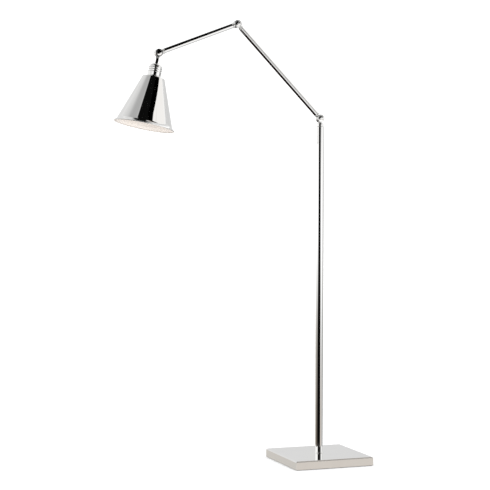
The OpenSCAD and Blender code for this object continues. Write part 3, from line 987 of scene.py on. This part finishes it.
@dataclass
class KnuckleShapes:
    """Shapes that the three half-lap knuckles share, made about a pivot along Y at the origin."""

    disc_radius: float = 12.0 * MM
    half_width: float = 9.0 * MM
    lap_gap: float = 0.8 * MM
    disc_edge: float = 1.6 * MM
    neck_radius: float = 5.5 * MM
    clear: float = 0.8 * MM
    cap_radius: float = 8.5 * MM
    cap_edge: float = 0.4 * MM
    cap_rise: float = 1.4 * MM
    cap_lip: float = 0.25 * MM
    lap_edge: float = 0.2 * MM
    lug_inset: float = 0.05 * MM
    lug_overlap: float = 0.3 * MM
    neck_overlap: float = 0.2 * MM
    bead_start: float = 13.5 * MM

    @property
    def neck_full(self) -> float:
        """Distance from the pivot at which the neck is a full round."""
        return self.disc_radius + self.clear

    @property
    def neck_start(self) -> float:
        """Where a neck's outline starts, so that it overlaps the stretch before it."""
        return self.neck_full - self.neck_overlap

    def disc(self) -> bmesh.types.BMesh:
        """The half's disc, on the rear side, its outer edge rounded.

        Returns:
            The disc.
        """
        inner, outer, radius = self.lap_gap / 2, self.half_width, self.disc_radius
        outline = [(0.0, inner), (radius, inner), (radius, outer), (0.0, outer)]
        bm = lathe(outline, segments=96, rounds={1: self.lap_edge, 2: self.disc_edge})
        return moved(bm, Matrix.Rotation(-math.pi / 2, 4, "X"))

    def lug(self) -> bmesh.types.BMesh:
        """Half-round stretch between the disc and the full neck, on the rear side.

        Returns:
            The stretch.
        """
        reach = self.neck_full + self.lug_overlap
        outline = [(0.0, 0.0), (self.neck_radius, 0.0), (self.neck_radius, reach), (0.0, reach)]
        bm = lathe(outline, segments=64)
        cut_off(bm, (0.0, self.lap_gap / 2 + self.lug_inset, 0.0), (0.0, 1.0, 0.0))
        bmesh.ops.recalc_face_normals(bm, faces=bm.faces[:])
        return bm

    def half(self, side: Side, neck: Outline, rounds: dict[int, float]) -> bmesh.types.BMesh:
        """One half of a knuckle, its neck along +Z.

        Args:
            side: the face of the knuckle that its disc is on.
            neck: the neck's outline, from where it is a full round.
            rounds: the rounds at the neck's corners.

        Returns:
            The half.
        """
        plane = Matrix.Diagonal((1.0, float(side.value), 1.0, 1.0))
        disc = moved(self.disc(), plane)
        lug = moved(self.lug(), plane)
        return fused(disc, lug, lathe(neck, segments=96, rounds=rounds))

    def cap(self, side: Side) -> bmesh.types.BMesh:
        """Low dome over the pivot screw.

        Args:
            side: the face of the knuckle that it closes.

        Returns:
            The cap.
        """
        radius, rise = self.cap_radius, self.cap_rise
        dome = (radius * radius + rise * rise) / (2 * rise)
        spread = math.degrees(math.asin(radius / dome))
        top = arc((0.0, self.half_width + self.cap_edge + rise - dome), dome, 90 - spread, 90, 8)
        outline = [(0.0, self.half_width), (radius, self.half_width)] + top[:-1]
        outline.append((0.0, self.half_width + self.cap_edge + rise))
        bm = lathe(outline, segments=96, rounds={2: self.cap_lip})
        moved(bm, Matrix.Rotation(-math.pi / 2, 4, "X"))
        return moved(bm, Matrix.Diagonal((1.0, float(side.value), 1.0, 1.0)))


@dataclass
class Swivel:
    """Post that turns in the pole's top and carries the lower knuckle's rear disc."""

    layout: Layout
    groups: Groups
    shapes: KnuckleShapes
    collar_radius: float = 10.75 * MM
    collar_top: float = 13.2 * MM
    collar_height: float = 12.0 * MM
    collar_round: float = 2.2 * MM
    collar_edge: float = 0.3 * MM

    def build(self) -> None:
        """Builds the post and its rear cap."""
        material = NICKEL.make(self.groups, Direction(tuple(self.layout.knuckle)), "swivel")
        shapes = self.shapes
        start, low = shapes.neck_start, self.collar_top + self.collar_height
        neck = [(0.0, start), (shapes.neck_radius, start), (shapes.neck_radius, self.collar_top),
                (self.collar_radius, self.collar_top), (self.collar_radius, low), (0.0, low)]
        bm = shapes.half(Side.REAR, neck, {3: self.collar_round, 4: self.collar_edge})
        flip = Matrix.Rotation(math.pi, 4, "Y")
        place = Matrix.Translation(self.layout.knuckle)
        Piece("swivel_post_body", "swivel", Slot.NICKEL, ("swivel_post",),
              (material,)).build(moved(bm, place @ flip))
        Piece("lower_knuckle_rear_dome", "swivel", Slot.NICKEL, ("lower_knuckle_rear_cap",),
              (material,)).build(moved(shapes.cap(Side.REAR), place))


@dataclass
class Arm:
    """A tubular arm with a turned bead and a knuckle half at each end.

    Attributes:
        name: lower_arm or upper_arm, which is also its body.
        direction: the arm's frame, from its first pivot.
        length: from pivot to pivot.
        near_node: the CAD node of its first half.
        far_node: the CAD node of its second half.
        far_side: the side of the second knuckle that its disc is on.
        near_cap: the CAD node of the first knuckle's cap.
        far_cap: the CAD node of the second knuckle's cap.
    """

    layout: Layout
    groups: Groups
    shapes: KnuckleShapes
    name: str
    direction: Direction
    length: float
    near_node: str
    far_node: str
    far_side: Side
    near_cap: str
    far_cap: str
    tube_radius: float = 7.5 * MM
    wall: float = 1.2 * MM
    bead_radius: float = 8.25 * MM
    bead_height: float = 4.6 * MM
    spigot_length: float = 22.0 * MM
    spigot_play: float = 0.05 * MM
    spigot_edge: float = 0.5 * MM
    tube_edge: float = 0.3 * MM

    def build(self) -> None:
        """Builds the arm's tube, beads, halves and caps."""
        material = NICKEL.make(self.groups, self.direction, self.name)
        place = self.direction.matrix()
        far = place @ Matrix.Translation((0.0, 0.0, self.length)) @ Matrix.Rotation(math.pi, 4, "Y")
        self.piece("pipe", (f"{self.name}_tube",), material).build(moved(self.tube(), place))
        beads = joined(moved(self.bead(), place), moved(self.bead(), far))
        self.piece("turned_beads", (f"{self.name}_beads",), material).build(beads)
        near_half = moved(self.half(Side.FRONT), place)
        self.piece("near_knuckle", (self.near_node,), material).build(near_half)
        far_half = moved(self.half(self.far_side), far)
        self.piece("far_knuckle", (self.far_node,), material).build(far_half)
        at_near = Matrix.Translation(place.translation)
        at_far = Matrix.Translation(far.translation)
        self.piece("near_dome", (self.near_cap,), material).build(
            moved(self.shapes.cap(Side.FRONT), at_near))
        self.piece("far_dome", (self.far_cap,), material).build(
            moved(self.shapes.cap(self.far_side), at_far))

    def piece(self, label: str, nodes: tuple[str, ...], material: bpy.types.Material) -> Piece:
        """A piece of this arm, named after it."""
        return Piece(f"{self.name}_{label}", self.name, Slot.NICKEL, nodes, (material,))

    def tube(self) -> bmesh.types.BMesh:
        """The arm's tube, along +Z from its first bead to its second.

        Returns:
            The tube.
        """
        start = self.shapes.bead_start + self.bead_height
        end = self.length - start
        inner = self.tube_radius - self.wall
        outline = [(inner, start), (self.tube_radius, start), (self.tube_radius, end), (inner, end)]
        return lathe(outline, closed=True, segments=96, rounds={1: self.tube_edge, 2: self.tube_edge})

    def bead(self) -> bmesh.types.BMesh:
        """A turned bead: a rounded ring between two narrow fillets.

        Returns:
            The bead, in the arm's own frame.
        """
        low = self.shapes.bead_start
        high = low + self.bead_height
        outline = bead_outline(self.tube_radius - self.wall, self.bead_radius, low, high, 12)
        return lathe(outline, closed=True, segments=96)

    def half(self, side: Side) -> bmesh.types.BMesh:
        """A knuckle half with its neck and the spigot that fills the tube's end.

        Args:
            side: the face of the knuckle that its disc is on.

        Returns:
            The half, its neck along +Z.
        """
        shapes = self.shapes
        start, bead = shapes.neck_start, shapes.bead_start
        spigot = self.tube_radius - self.wall - self.spigot_play
        end = bead + self.bead_height + self.spigot_length
        neck = [(0.0, start), (shapes.neck_radius, start), (shapes.neck_radius, bead),
                (spigot, bead), (spigot, end), (0.0, end)]
        return shapes.half(side, neck, {4: self.spigot_edge})


# ---------------------------------------------------------------------------------------------
# Head
# ---------------------------------------------------------------------------------------------


@dataclass
class Head:
    """Stem, socket cup, lampholder and shade, as heights in the stem's own frame."""

    layout: Layout
    groups: Groups
    shapes: KnuckleShapes
    stem_radius: float = 4.5 * MM
    stem_root: float = 2.0 * MM
    stem_draw: float = 1.2 * MM
    thread_radius: float = 5.0 * MM
    thread_bottom: float = 50.0 * MM
    shoulder_radius: float = 6.5 * MM
    shoulder_top: float = 30.5 * MM
    shoulder_round: float = 0.8 * MM
    shoulder_edge: float = 0.3 * MM
    bell_top: float = 32.5 * MM
    bell_bottom: float = 43.0 * MM
    bell_radius: float = 18.5 * MM
    bell_sag: float = 0.16
    bell_play: float = 0.05 * MM
    bell_collar: float = 0.5 * MM
    cup_wall: float = 1.0 * MM
    cup_radius: float = 19.5 * MM
    cup_bottom: float = 68.5 * MM
    rib_depths: tuple[float, ...] = (45.4 * MM, 51.6 * MM, 58.0 * MM)
    rib_out: float = 0.9 * MM
    rib_height: float = 2.4 * MM
    seat_radius: float = 20.5 * MM
    holder_radius: float = 18.2 * MM
    holder_bore: float = 15.0 * MM
    holder_top: float = 46.0 * MM
    holder_floor: float = 56.0 * MM
    holder_drop: float = 12.0 * MM
    holder_play: float = 0.1 * MM
    holder_round: float = 1.0 * MM
    stem_hole: float = 5.2 * MM
    shade_top: float = 74.0 * MM
    shade_top_radius: float = 33.5 * MM
    shade_rim_radius: float = 91.0 * MM
    shade_height: float = 148.0 * MM
    shade_wall: float = 0.9 * MM
    shade_corner: float = 2.5 * MM
    lip_out: float = 9.0 * MM
    lip_height: float = 12.0 * MM
    lip_slope: float = 0.45
    rim_roll: float = 1.2 * MM
    roll_fall: float = 1.76
    roll_out: float = 0.35
    hole_play: float = 0.4 * MM
    clamp_radius: float = 25.0 * MM
    clamp_height: float = 7.0 * MM
    clamp_step: float = 2.0 * MM
    clamp_play: float = 0.1 * MM
    clamp_round: float = 0.8 * MM
    clamp_edge: float = 0.5 * MM

    def build(self) -> None:
        """Builds every visible piece of the head."""
        nickel = NICKEL.make(self.groups, self.layout.stem, "head")
        self.build_stem(nickel)
        self.build_bell(nickel)
        self.build_cup(nickel)
        self.build_seat(nickel)
        self.build_holder(PORCELAIN.make(self.groups))
        # The inside's enamel carries a painted warm tint of light and shade in its colour
        self.build_shade(nickel, ENAMEL_WITH_PAINTED_WARM_LIGHT.make(self.groups))
        self.build_clamp_ring(WHITE_PLASTIC.make(self.groups))

    def add(self, name: str, slot: Slot, node: str, bm: bmesh.types.BMesh,
            *materials: bpy.types.Material) -> None:
        """Puts a piece made in the stem's own frame in its place on the lamp.

        Args:
            name: the piece's name.
            slot: its material slot in the record.
            node: the CAD node that it stands for.
            bm: its shape.
            materials: its materials.
        """
        Piece(name, "head", slot, (node,), materials).build(moved(bm, self.layout.stem.matrix()))

    def build_stem(self, material: bpy.types.Material) -> None:
        """Rear disc of the head knuckle with its slender stem, and the rear cap.

        Args:
            material: its finish.
        """
        shapes = self.shapes
        start, root = shapes.neck_start, shapes.neck_full + self.stem_root
        neck = [(0.0, start), (shapes.neck_radius, start), (shapes.neck_radius, root),
                (self.stem_radius, root + self.stem_draw), (self.stem_radius, self.shoulder_top),
                (self.shoulder_radius, self.shoulder_top), (self.shoulder_radius, self.bell_top),
                (self.thread_radius, self.bell_top), (self.thread_radius, self.thread_bottom),
                (0.0, self.thread_bottom)]
        bm = shapes.half(Side.REAR, neck, {5: self.shoulder_round, 6: self.shoulder_edge})
        moved(bm, Matrix.Rotation(math.pi, 4, "Y"))
        self.add("head_knuckle_stem", Slot.NICKEL, "head_stem", bm, material)
        cap = moved(shapes.cap(Side.REAR), Matrix.Translation(self.layout.head))
        Piece("head_rear_dome", "head", Slot.NICKEL, ("head_rear_cap",), (material,)).build(cap)

    def build_bell(self, material: bpy.types.Material) -> None:
        """Flared bell over the socket cup.

        Args:
            material: its finish.
        """
        top_radius = self.shoulder_radius + self.bell_collar
        drop = self.bell_bottom - self.bell_top
        steps = 14
        outline = [(self.thread_radius + self.bell_play, -self.bell_top)]
        for step in range(steps + 1):
            turn = math.radians(90 * step / steps)
            sag = 1 - self.bell_sag * math.sin(2 * turn)
            outline.append((top_radius + (self.bell_radius - top_radius) * math.sin(turn),
                            -self.bell_bottom + drop * math.cos(turn) * sag))
        bm = lathe(outline)
        bmesh.ops.solidify(bm, geom=bm.faces[:], thickness=self.cup_wall)
        self.add("socket_bell", Slot.NICKEL, "socket_cap", bm, material)

    def build_cup(self, material: bpy.types.Material) -> None:
        """Socket cup with its turned ribs.

        Args:
            material: its finish.
        """
        radius, inner, half = self.cup_radius, self.cup_radius - self.cup_wall, self.rib_height / 2
        outline = [(inner, -self.bell_bottom), (radius, -self.bell_bottom)]
        for depth in self.rib_depths:
            outline.append((radius, -depth + half))
            for out, up in arc((0.0, 0.0), 1.0, 90, -90, 10)[1:-1]:
                outline.append((radius + self.rib_out * out, -depth + half * up))
            outline.append((radius, -depth - half))
        outline += [(radius, -self.cup_bottom), (inner, -self.cup_bottom)]
        self.add("ribbed_cup", Slot.NICKEL, "socket_cup", lathe(outline, closed=True), material)

    def build_seat(self, material: bpy.types.Material) -> None:
        """Rounded bead between the cup and the shade."""
        outline = bead_outline(self.holder_radius, self.seat_radius, -self.shade_top, -self.cup_bottom, 14)
        self.add("shade_seat_bead", Slot.NICKEL, "socket_bead", lathe(outline, closed=True), material)

    def build_holder(self, material: bpy.types.Material) -> None:
        """Porcelain body of the lampholder, hollow below.

        Args:
            material: its finish.
        """
        radius, bore, hole = self.holder_radius - self.holder_play, self.holder_bore, self.stem_hole
        top, floor, bottom = -self.holder_top, -self.holder_floor, -(self.shade_top + self.holder_drop)
        outline = [(hole, top), (radius, top), (radius, bottom), (bore, bottom), (bore, floor), (hole, floor)]
        bm = lathe(outline, closed=True, rounds=dict.fromkeys((1, 2, 3), self.holder_round))
        self.add("lampholder", Slot.PORCELAIN, "lampholder_body", bm, material)

    def shade_outline(self) -> Outline:
        """Outside of the shade from the edge of its top hole to its rim.

        Returns:
            The outline, as heights in the stem's own frame.
        """
        corner, top_radius = self.shade_corner, self.shade_top_radius
        roll = self.rim_roll
        lip_start = self.shade_height - self.lip_height
        wall_radius = self.shade_rim_radius - self.lip_out
        lip_fall = self.lip_height - self.roll_fall * roll
        lip_out = self.lip_out - self.roll_out * roll
        outline = [(self.holder_radius + self.hole_play, 0.0)]
        outline += arc((top_radius - corner, -corner), corner, 90, 20, 8)
        steps = 10
        for step in range(steps + 1):
            part = step / steps
            flare = self.lip_slope * part + (1 - self.lip_slope) * part * part
            outline.append((wall_radius + lip_out * flare, -lip_start - lip_fall * part))
        outline += arc((self.shade_rim_radius - roll, roll - self.shade_height), roll, 45, -150, 12)
        return [(radius, height - self.shade_top) for radius, height in outline]

    def build_shade(self, nickel: bpy.types.Material, enamel: bpy.types.Material) -> None:
        """Spun conical shade: plated outside, enamelled inside.

        Args:
            nickel: the finish outside.
            enamel: the finish inside, off-white enamel whose colour is tinted peach and a little darker as painted
                warm light and shade.
        """
        bm = lathe(self.shade_outline(), segments=192)
        axis_point = Vector((0.0, 0.0, -self.shade_top - self.shade_height))
        inward = sum(1 for f in bm.faces if f.normal.dot(f.calc_center_median() - axis_point) < 0)
        if inward > len(bm.faces) / 2:
            bmesh.ops.reverse_faces(bm, faces=bm.faces[:])
        bmesh.ops.solidify(bm, geom=bm.faces[:], thickness=self.shade_wall)
        for face in bm.faces:
            centre = face.calc_center_median()
            lean = Vector((centre.x, centre.y, 0.0)).normalized()
            outward = face.normal.dot(lean) + max(face.normal.z, 0.0)
            face.material_index = 0 if outward > 0 else 1
        self.add("shade_cone", Slot.SHADE, "shade", bm, nickel, enamel)

    def build_clamp_ring(self, material: bpy.types.Material) -> None:
        """Moulded ring that clamps the shade from inside.

        Args:
            material: its finish.
        """
        high = -(self.shade_top + self.shade_wall + self.clamp_play)
        low = high - self.clamp_height
        inner, outer, step = self.holder_radius, self.clamp_radius, self.clamp_step
        outline = [(inner, low), (outer - step, low), (outer, low + step), (outer, high), (inner, high)]
        rounds = {1: self.clamp_round, 2: self.clamp_round, 3: self.clamp_edge}
        bm = lathe(outline, closed=True, rounds=rounds)
        self.add("shade_ring", Slot.WHITE_PLASTIC, "shade_clamp_ring", bm, material)


@dataclass
class Bulb:
    """Etched glass bulb with its rolled screw cap, as depths in the stem's own frame."""

    layout: Layout
    groups: Groups
    cap_top: float = 61.5 * MM
    cap_bottom: float = 88.0 * MM
    cap_radius: float = 13.2 * MM
    ball_radius: float = 30.0 * MM
    ball_depth: float = 138.0 * MM
    neck_radius: float = 12.6 * MM
    glass_wall: float = 0.8 * MM
    thread_pitch: float = 3.6 * MM
    thread_depth: float = 0.6 * MM
    thread_start: float = 1.0 * MM
    thread_points: int = 6
    neck_inside: float = 6.0 * MM
    neck_turn: float = 40.0

    def build(self) -> None:
        """Builds the glass and the screw cap."""
        place = self.layout.stem.matrix()
        glass = Piece("bulb", "head", Slot.GLASS, ("bulb_glass",), (GLASS.make(self.groups),))
        glass.build(moved(self.glass(), place))
        metal = ALUMINIUM.make(self.groups, self.layout.stem, "bulb_cap")
        cap = Piece("bulb_screw_cap", "head", Slot.BULB_CAP, ("bulb_cap",), (metal,))
        cap.build(moved(self.screw_cap(), place))

    def glass(self) -> bmesh.types.BMesh:
        """The glass: a ball that draws in smoothly to its neck.

        Returns:
            The glass.
        """
        start = math.radians(self.neck_turn)
        join_radius = self.ball_radius * math.sin(start)
        join_depth = self.ball_depth - self.ball_radius * math.cos(start)
        outline = [(self.neck_radius, self.neck_inside - self.cap_bottom),
                   (self.neck_radius, -self.cap_bottom)]
        steps = 10
        for step in range(1, steps):
            part = step / steps
            swell = part * part * (3 - 2 * part)
            outline.append((self.neck_radius + (join_radius - self.neck_radius) * swell,
                            -self.cap_bottom - (join_depth - self.cap_bottom) * part))
        outline += arc((0.0, -self.ball_depth), self.ball_radius, 90 - self.neck_turn, -90, 28)
        outline[-1] = (0.0, -self.ball_depth - self.ball_radius)
        bm = lathe(outline, segments=96)
        bmesh.ops.solidify(bm, geom=bm.faces[:], thickness=self.glass_wall)
        return bm

    def screw_cap(self) -> bmesh.types.BMesh:
        """The screw cap, its rolled thread as rings.

        Returns:
            The cap.
        """
        outline = [(0.0, -self.cap_top), (self.cap_radius - 2 * self.thread_depth, -self.cap_top)]
        turns = int((self.cap_bottom - self.cap_top) / self.thread_pitch)
        for step in range(turns * self.thread_points):
            turn = step / self.thread_points
            radius = self.cap_radius - self.thread_depth * (1 + math.cos(math.tau * turn)) / 2
            outline.append((radius, -self.cap_top - self.thread_start - self.thread_pitch * turn))
        outline += [(self.cap_radius, -self.cap_bottom), (0.0, -self.cap_bottom)]
        return lathe(outline, segments=96)


@dataclass
class Hardware:
    """The working pieces inside, which keep their CAD meshes and get their own finishes."""

    groups: Groups

    def build(self) -> None:
        """Dresses each CAD node whose slot is brass, zinc-plated steel, cast iron, lead insulation or friction
        fibre.
        """
        finishes = {
            "brass": BRASS.make(self.groups, Direction(), "fittings"),
            "zinc_plated_steel": ZINC.make(self.groups, Direction(), "fittings"),
            "cast_iron": CAST_IRON.make(self.groups),
            "lead_insulation": INSULATION.make(self.groups),
            "friction_fibre": FIBRE.make(self.groups),
        }
        for entry in frame["record"]["subparts"]:
            finish = finishes.get(entry["material_slot"])
            if finish is not None:
                dress(entry["node"], finish)


# ---------------------------------------------------------------------------------------------
# Studio
# ---------------------------------------------------------------------------------------------


@dataclass(frozen=True)
class Card:
    """A soft-edged patch of the light tent, as angles seen from the lamp.

    Attributes:
        left: its left edge in degrees, measured to the right from the camera's direction.
        right: its right edge.
        low: its lower edge in degrees above the horizon.
        high: its upper edge.
        colour: the light that comes from it.
        blur: how soft its edges are, in degrees.
    """

    left: float
    right: float
    low: float
    high: float
    colour: Colour
    blur: float = 6.0


def grey(level: float) -> Colour:
    """A neutral colour."""
    return (level, level, level)


def matt(name: str, tone: float) -> bpy.types.Material:
    """A neutral material without any gloss.

    Args:
        name: the material's name.
        tone: how pale it is.

    Returns:
        The material.
    """
    material, _, shader = start_material(name)
    shader.inputs["Base Color"].default_value = rgba(grey(tone))
    shader.inputs["Roughness"].default_value = 1.0
    shader.inputs["Specular IOR Level"].default_value = 0.0
    return material


TENT = grey(1.22)
BLACK = grey(0.004)
DARK_FLOOR = (0.012, 0.007, 0.006)

# Each card lies over the ones before it
CARDS = (
    # Walls and ceiling at the left and behind
    Card(-185, -122, 3, 48, grey(0.82), 12),
    Card(-124, -30, 20, 48, grey(0.82), 12),
    Card(-185, -30, 48, 90, grey(0.80), 10),
    Card(-90, -10, 30, 100, grey(0.46), 60),
    # Walls at the right and behind, and what lies below and above them
    Card(54, 112, 14, 48, (1.02, 1.00, 0.98), 10),
    Card(112, 185, 5, 20, grey(0.72), 10),
    Card(160, 185, 3, 26, grey(0.75), 6),
    Card(-185, -168, 3, 26, grey(0.75), 6),
    Card(62, 112, -14, -3.5, grey(0.54), 6),
    Card(100, 185, -12, 4, grey(0.42), 8),
    Card(62, 125, 50, 72, (0.42, 0.39, 0.36), 10),
    Card(78, 185, -56, -14, grey(0.70), 12),
    # Floor some way off
    Card(-185, -104, -13, -4, (0.70, 0.67, 0.63), 6),
    Card(-122, -40, -14, -3.5, (0.42, 0.40, 0.37), 5),
    Card(-105, -40, -14, -7, (0.17, 0.145, 0.12), 5),
    Card(28, 80, -14, -6.5, (0.72, 0.67, 0.62), 5),
    # Floor close by
    Card(-200, 6, -66, -15, DARK_FLOOR, 14),
    Card(168, 200, -66, -15, DARK_FLOOR, 8),
    # Pale card high at the back right, and a grey one at the right of the camera
    Card(116, 150, 20, 62, grey(0.82), 10),
    Card(38, 76, 4, 28, grey(0.50), 8),
    # Dark room behind the camera
    Card(-36, 26, -8, 12, BLACK, 4),
    Card(-52, 37, -13, -2, BLACK, 6),
    Card(-9, 41, 5, 34, BLACK, 5),
    Card(45, 70, 17, 34, grey(0.04), 5),
    Card(-24, 55, 30, 62, BLACK, 4),
    Card(-24, 64, 56, 100, BLACK, 6),
    # Dark ceiling behind the lamp and overhead
    Card(120, 185, 64, 100, BLACK, 8),
    Card(-185, -150, 64, 100, BLACK, 8),
    Card(-200, 200, 74, 100, BLACK, 8),
    # Pale strip of floor in front and at the left
    Card(-100, 40, -14, -9.8, (0.76, 0.72, 0.68), 0.8),
)


@dataclass(frozen=True)
class Flag:
    """A flat black card near the lamp, which only its mirror surfaces see.

    Attributes:
        name: the card's name.
        centre: from the head's pivot: right, toward the camera and up, in metres.
        width: its width, or the radius of a curved card.
        height: its height.
        turn: where it stands, in degrees to the right of the camera's direction.
        lean: how far its top leans to the right, in degrees.
    """

    name: str
    centre: Triple
    width: float
    height: float
    turn: float = 0.0
    lean: float = 0.0

    def shape(self) -> bmesh.types.BMesh:
        """The card about its own centre, facing down the y axis.

        Returns:
            The card.
        """
        bm = bmesh.new()
        bmesh.ops.create_grid(bm, x_segments=1, y_segments=1, size=0.5)
        sized = Matrix.Diagonal((self.width, self.height, 1.0, 1.0))
        return moved(bm, Matrix.Rotation(math.pi / 2, 4, "X") @ sized)


@dataclass(frozen=True)
class CurvedFlag(Flag):
    """A black card curled half round its centre."""

    def shape(self) -> bmesh.types.BMesh:
        """Half of a tube, open away from the camera.

        Returns:
            The card.
        """
        bm = bmesh.new()
        bmesh.ops.create_cone(bm, segments=72, radius1=self.width, radius2=self.width, depth=self.height)
        bmesh.ops.bisect_plane(bm, geom=bm.verts[:] + bm.edges[:] + bm.faces[:], dist=CUT_DISTANCE,
                               plane_co=(0.0, 0.0, 0.0), plane_no=(0.0, 1.0, 0.0), clear_outer=True)
        return bm


FLAGS = (
    CurvedFlag("flag_by_stem", (-0.0042, 0.0, -0.0205), 0.016, 0.020, 0.0, 11.6),
    Flag("flag_above_shade", (0.174, 0.155, 0.090), 0.300, 0.150, 65.0, -28.0),
)


@dataclass
class Studio:
    """Pale floor, light tent, black cards and camera.

    Attributes:
        layout: the lamp's places.
        camera_azimuth: the camera's direction, in degrees right of the lamp's front.
        camera_distance: how far the camera stands from the pole, in metres.
        camera_height: its height above the floor.
        pan: how far it looks to the left of the pole, in degrees.
        pitch: how far it looks up, in degrees.
        roll: how far it is tipped, in degrees.
        lens: its focal length in millimetres.
        backdrop: brightness of the plain light that everything but mirrors sees.
        floor_size: width of the floor, in metres.
        floor_tone: how pale the floor is.
    """

    layout: Layout
    camera_azimuth: float = -23.143
    camera_distance: float = 4.2567
    camera_height: float = 0.763
    pan: float = 3.105
    pitch: float = -1.253
    roll: float = 0.152
    lens: float = 101.06
    backdrop: float = 1.3
    floor_size: float = 60.0
    floor_tone: float = 0.98

    def build(self) -> None:
        """Builds the floor, the tent and the camera."""
        self.build_floor()
        self.build_tent()
        black = matt("flag_black", 0.0)
        for flag in FLAGS:
            self.build_flag(flag, black)
        self.build_camera()
        bpy.context.scene.view_settings.view_transform = "Standard"

    def build_floor(self) -> None:
        """A plain pale floor that the polished pieces don't mirror."""
        bm = bmesh.new()
        bmesh.ops.create_grid(bm, x_segments=1, y_segments=1, size=self.floor_size / 2)
        floor = linked("studio_floor", bm, (matt("pale_floor", self.floor_tone),))
        floor.visible_glossy = False

    def build_flag(self, flag: Flag, black: bpy.types.Material) -> None:
        """Stands a black card near the head, where the camera doesn't see it.

        Args:
            flag: the card.
            black: its material.
        """
        turn = Matrix.Rotation(math.radians(self.camera_azimuth), 4, "Z")
        aside, toward, up = flag.centre
        centre = self.layout.head + turn @ Vector((aside, -toward, up))
        facing = turn @ Matrix.Rotation(math.radians(flag.turn), 4, "Z")
        leaning = Matrix.Rotation(math.radians(flag.lean), 4, "Y")
        bm = moved(flag.shape(), Matrix.Translation(centre) @ facing @ leaning)
        card = linked(flag.name, bm, (black,))
        card.visible_camera = False
        card.visible_diffuse = False
        card.visible_shadow = False
        card.visible_transmission = False

    def build_tent(self) -> None:
        """White light tent with dark cards, seen only in reflections; the backdrop is plain white."""
        world = bpy.data.worlds.new("light_tent")
        bpy.context.scene.world = world
        world.use_nodes = True
        world.node_tree.nodes.clear()
        nodes = Nodes(world.node_tree)
        place = nodes.add("ShaderNodeTexCoord").outputs["Generated"]
        turn = math.radians(self.camera_azimuth)
        toward = (math.sin(turn), -math.cos(turn), 0.0)
        right = (math.cos(turn), math.sin(turn), 0.0)
        ahead = nodes.vector_math("DOT_PRODUCT", place, toward).outputs["Value"]
        aside = nodes.vector_math("DOT_PRODUCT", place, right).outputs["Value"]
        up = nodes.vector_math("DOT_PRODUCT", place, (0.0, 0.0, 1.0)).outputs["Value"]
        azimuth = nodes.math("DEGREES", nodes.math("ARCTAN2", aside, ahead))
        elevation = nodes.math("DEGREES", nodes.math("ARCSINE", up))
        light: object = rgba(TENT)
        for card in CARDS:
            light = nodes.mix(self.card_mask(nodes, card, azimuth, elevation), light, rgba(card.colour))
        path = nodes.add("ShaderNodeLightPath")
        glossy = path.outputs["Is Glossy Ray"]
        mirrored = nodes.add("ShaderNodeBackground")
        nodes.feed(mirrored.inputs["Color"], light)
        plain = nodes.add("ShaderNodeBackground")
        plain.inputs["Color"].default_value = rgba(grey(1.0))
        plain.inputs["Strength"].default_value = self.backdrop
        blend = nodes.add("ShaderNodeMixShader")
        nodes.feed(blend.inputs[0], glossy)
        nodes.feed(blend.inputs[1], plain.outputs[0])
        nodes.feed(blend.inputs[2], mirrored.outputs[0])
        out = nodes.add("ShaderNodeOutputWorld")
        nodes.feed(out.inputs["Surface"], blend.outputs[0])

    def card_mask(self, nodes: Nodes, card: Card, azimuth: bpy.types.NodeSocket,
                  elevation: bpy.types.NodeSocket) -> bpy.types.NodeSocket:
        """How much of a card lies in a direction.

        Args:
            nodes: the world's nodes.
            card: the card.
            azimuth: the direction's azimuth in degrees.
            elevation: its elevation in degrees.

        Returns:
            One inside the card and zero outside.
        """
        half = card.blur / 2
        windows = []
        for value, low, high in ((azimuth, card.left, card.right), (elevation, card.low, card.high)):
            rising = nodes.ramp(value, low - half, low + half)
            falling = nodes.ramp(value, high - half, high + half, 1.0, 0.0)
            windows.append(nodes.math("MULTIPLY", rising, falling))
        return nodes.math("MULTIPLY", *windows)

    def build_camera(self) -> None:
        """The camera, left of straight ahead and about halfway up the lamp."""
        data = bpy.data.cameras.new("camera")
        data.lens = self.lens
        data.clip_start, data.clip_end = 0.1, 100.0
        camera = bpy.data.objects.new("camera", data)
        bpy.context.scene.collection.objects.link(camera)
        bpy.context.scene.camera = camera
        turn = math.radians(self.camera_azimuth)
        look = math.radians(self.camera_azimuth + self.pan)
        place = Vector((self.camera_distance * math.sin(turn), -self.camera_distance * math.cos(turn),
                        self.camera_height))
        aim = Matrix.Rotation(look, 4, "Z") @ Matrix.Rotation(math.pi / 2 + math.radians(self.pitch), 4, "X")
        level = Matrix.Rotation(math.radians(self.roll), 4, "Z")
        camera.matrix_world = Matrix.Translation(place) @ aim @ level


def main() -> None:
    """Builds the lamp and its studio."""
    logging.basicConfig(level=logging.INFO, format="%(name)s: %(message)s")
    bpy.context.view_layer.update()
    layout = Layout.read()
    groups = Groups()
    shapes = KnuckleShapes()
    Studio(layout).build()
    Base(layout, groups).build()
    Pole(layout, groups).build()
    Swivel(layout, groups, shapes).build()
    Arm(layout, groups, shapes, name="lower_arm", direction=layout.lower_arm,
        length=(layout.elbow - layout.knuckle).length, near_node="lower_knuckle_half",
        far_node="elbow_rear_half", far_side=Side.REAR, near_cap="lower_knuckle_front_cap",
        far_cap="elbow_rear_cap").build()
    Arm(layout, groups, shapes, name="upper_arm", direction=layout.upper_arm,
        length=(layout.head - layout.elbow).length, near_node="elbow_front_half",
        far_node="head_front_half", far_side=Side.FRONT, near_cap="elbow_front_cap",
        far_cap="head_front_cap").build()
    Head(layout, groups, shapes).build()
    Bulb(layout, groups).build()
    Hardware(groups).build()


if __name__ == "__main__":
    main()
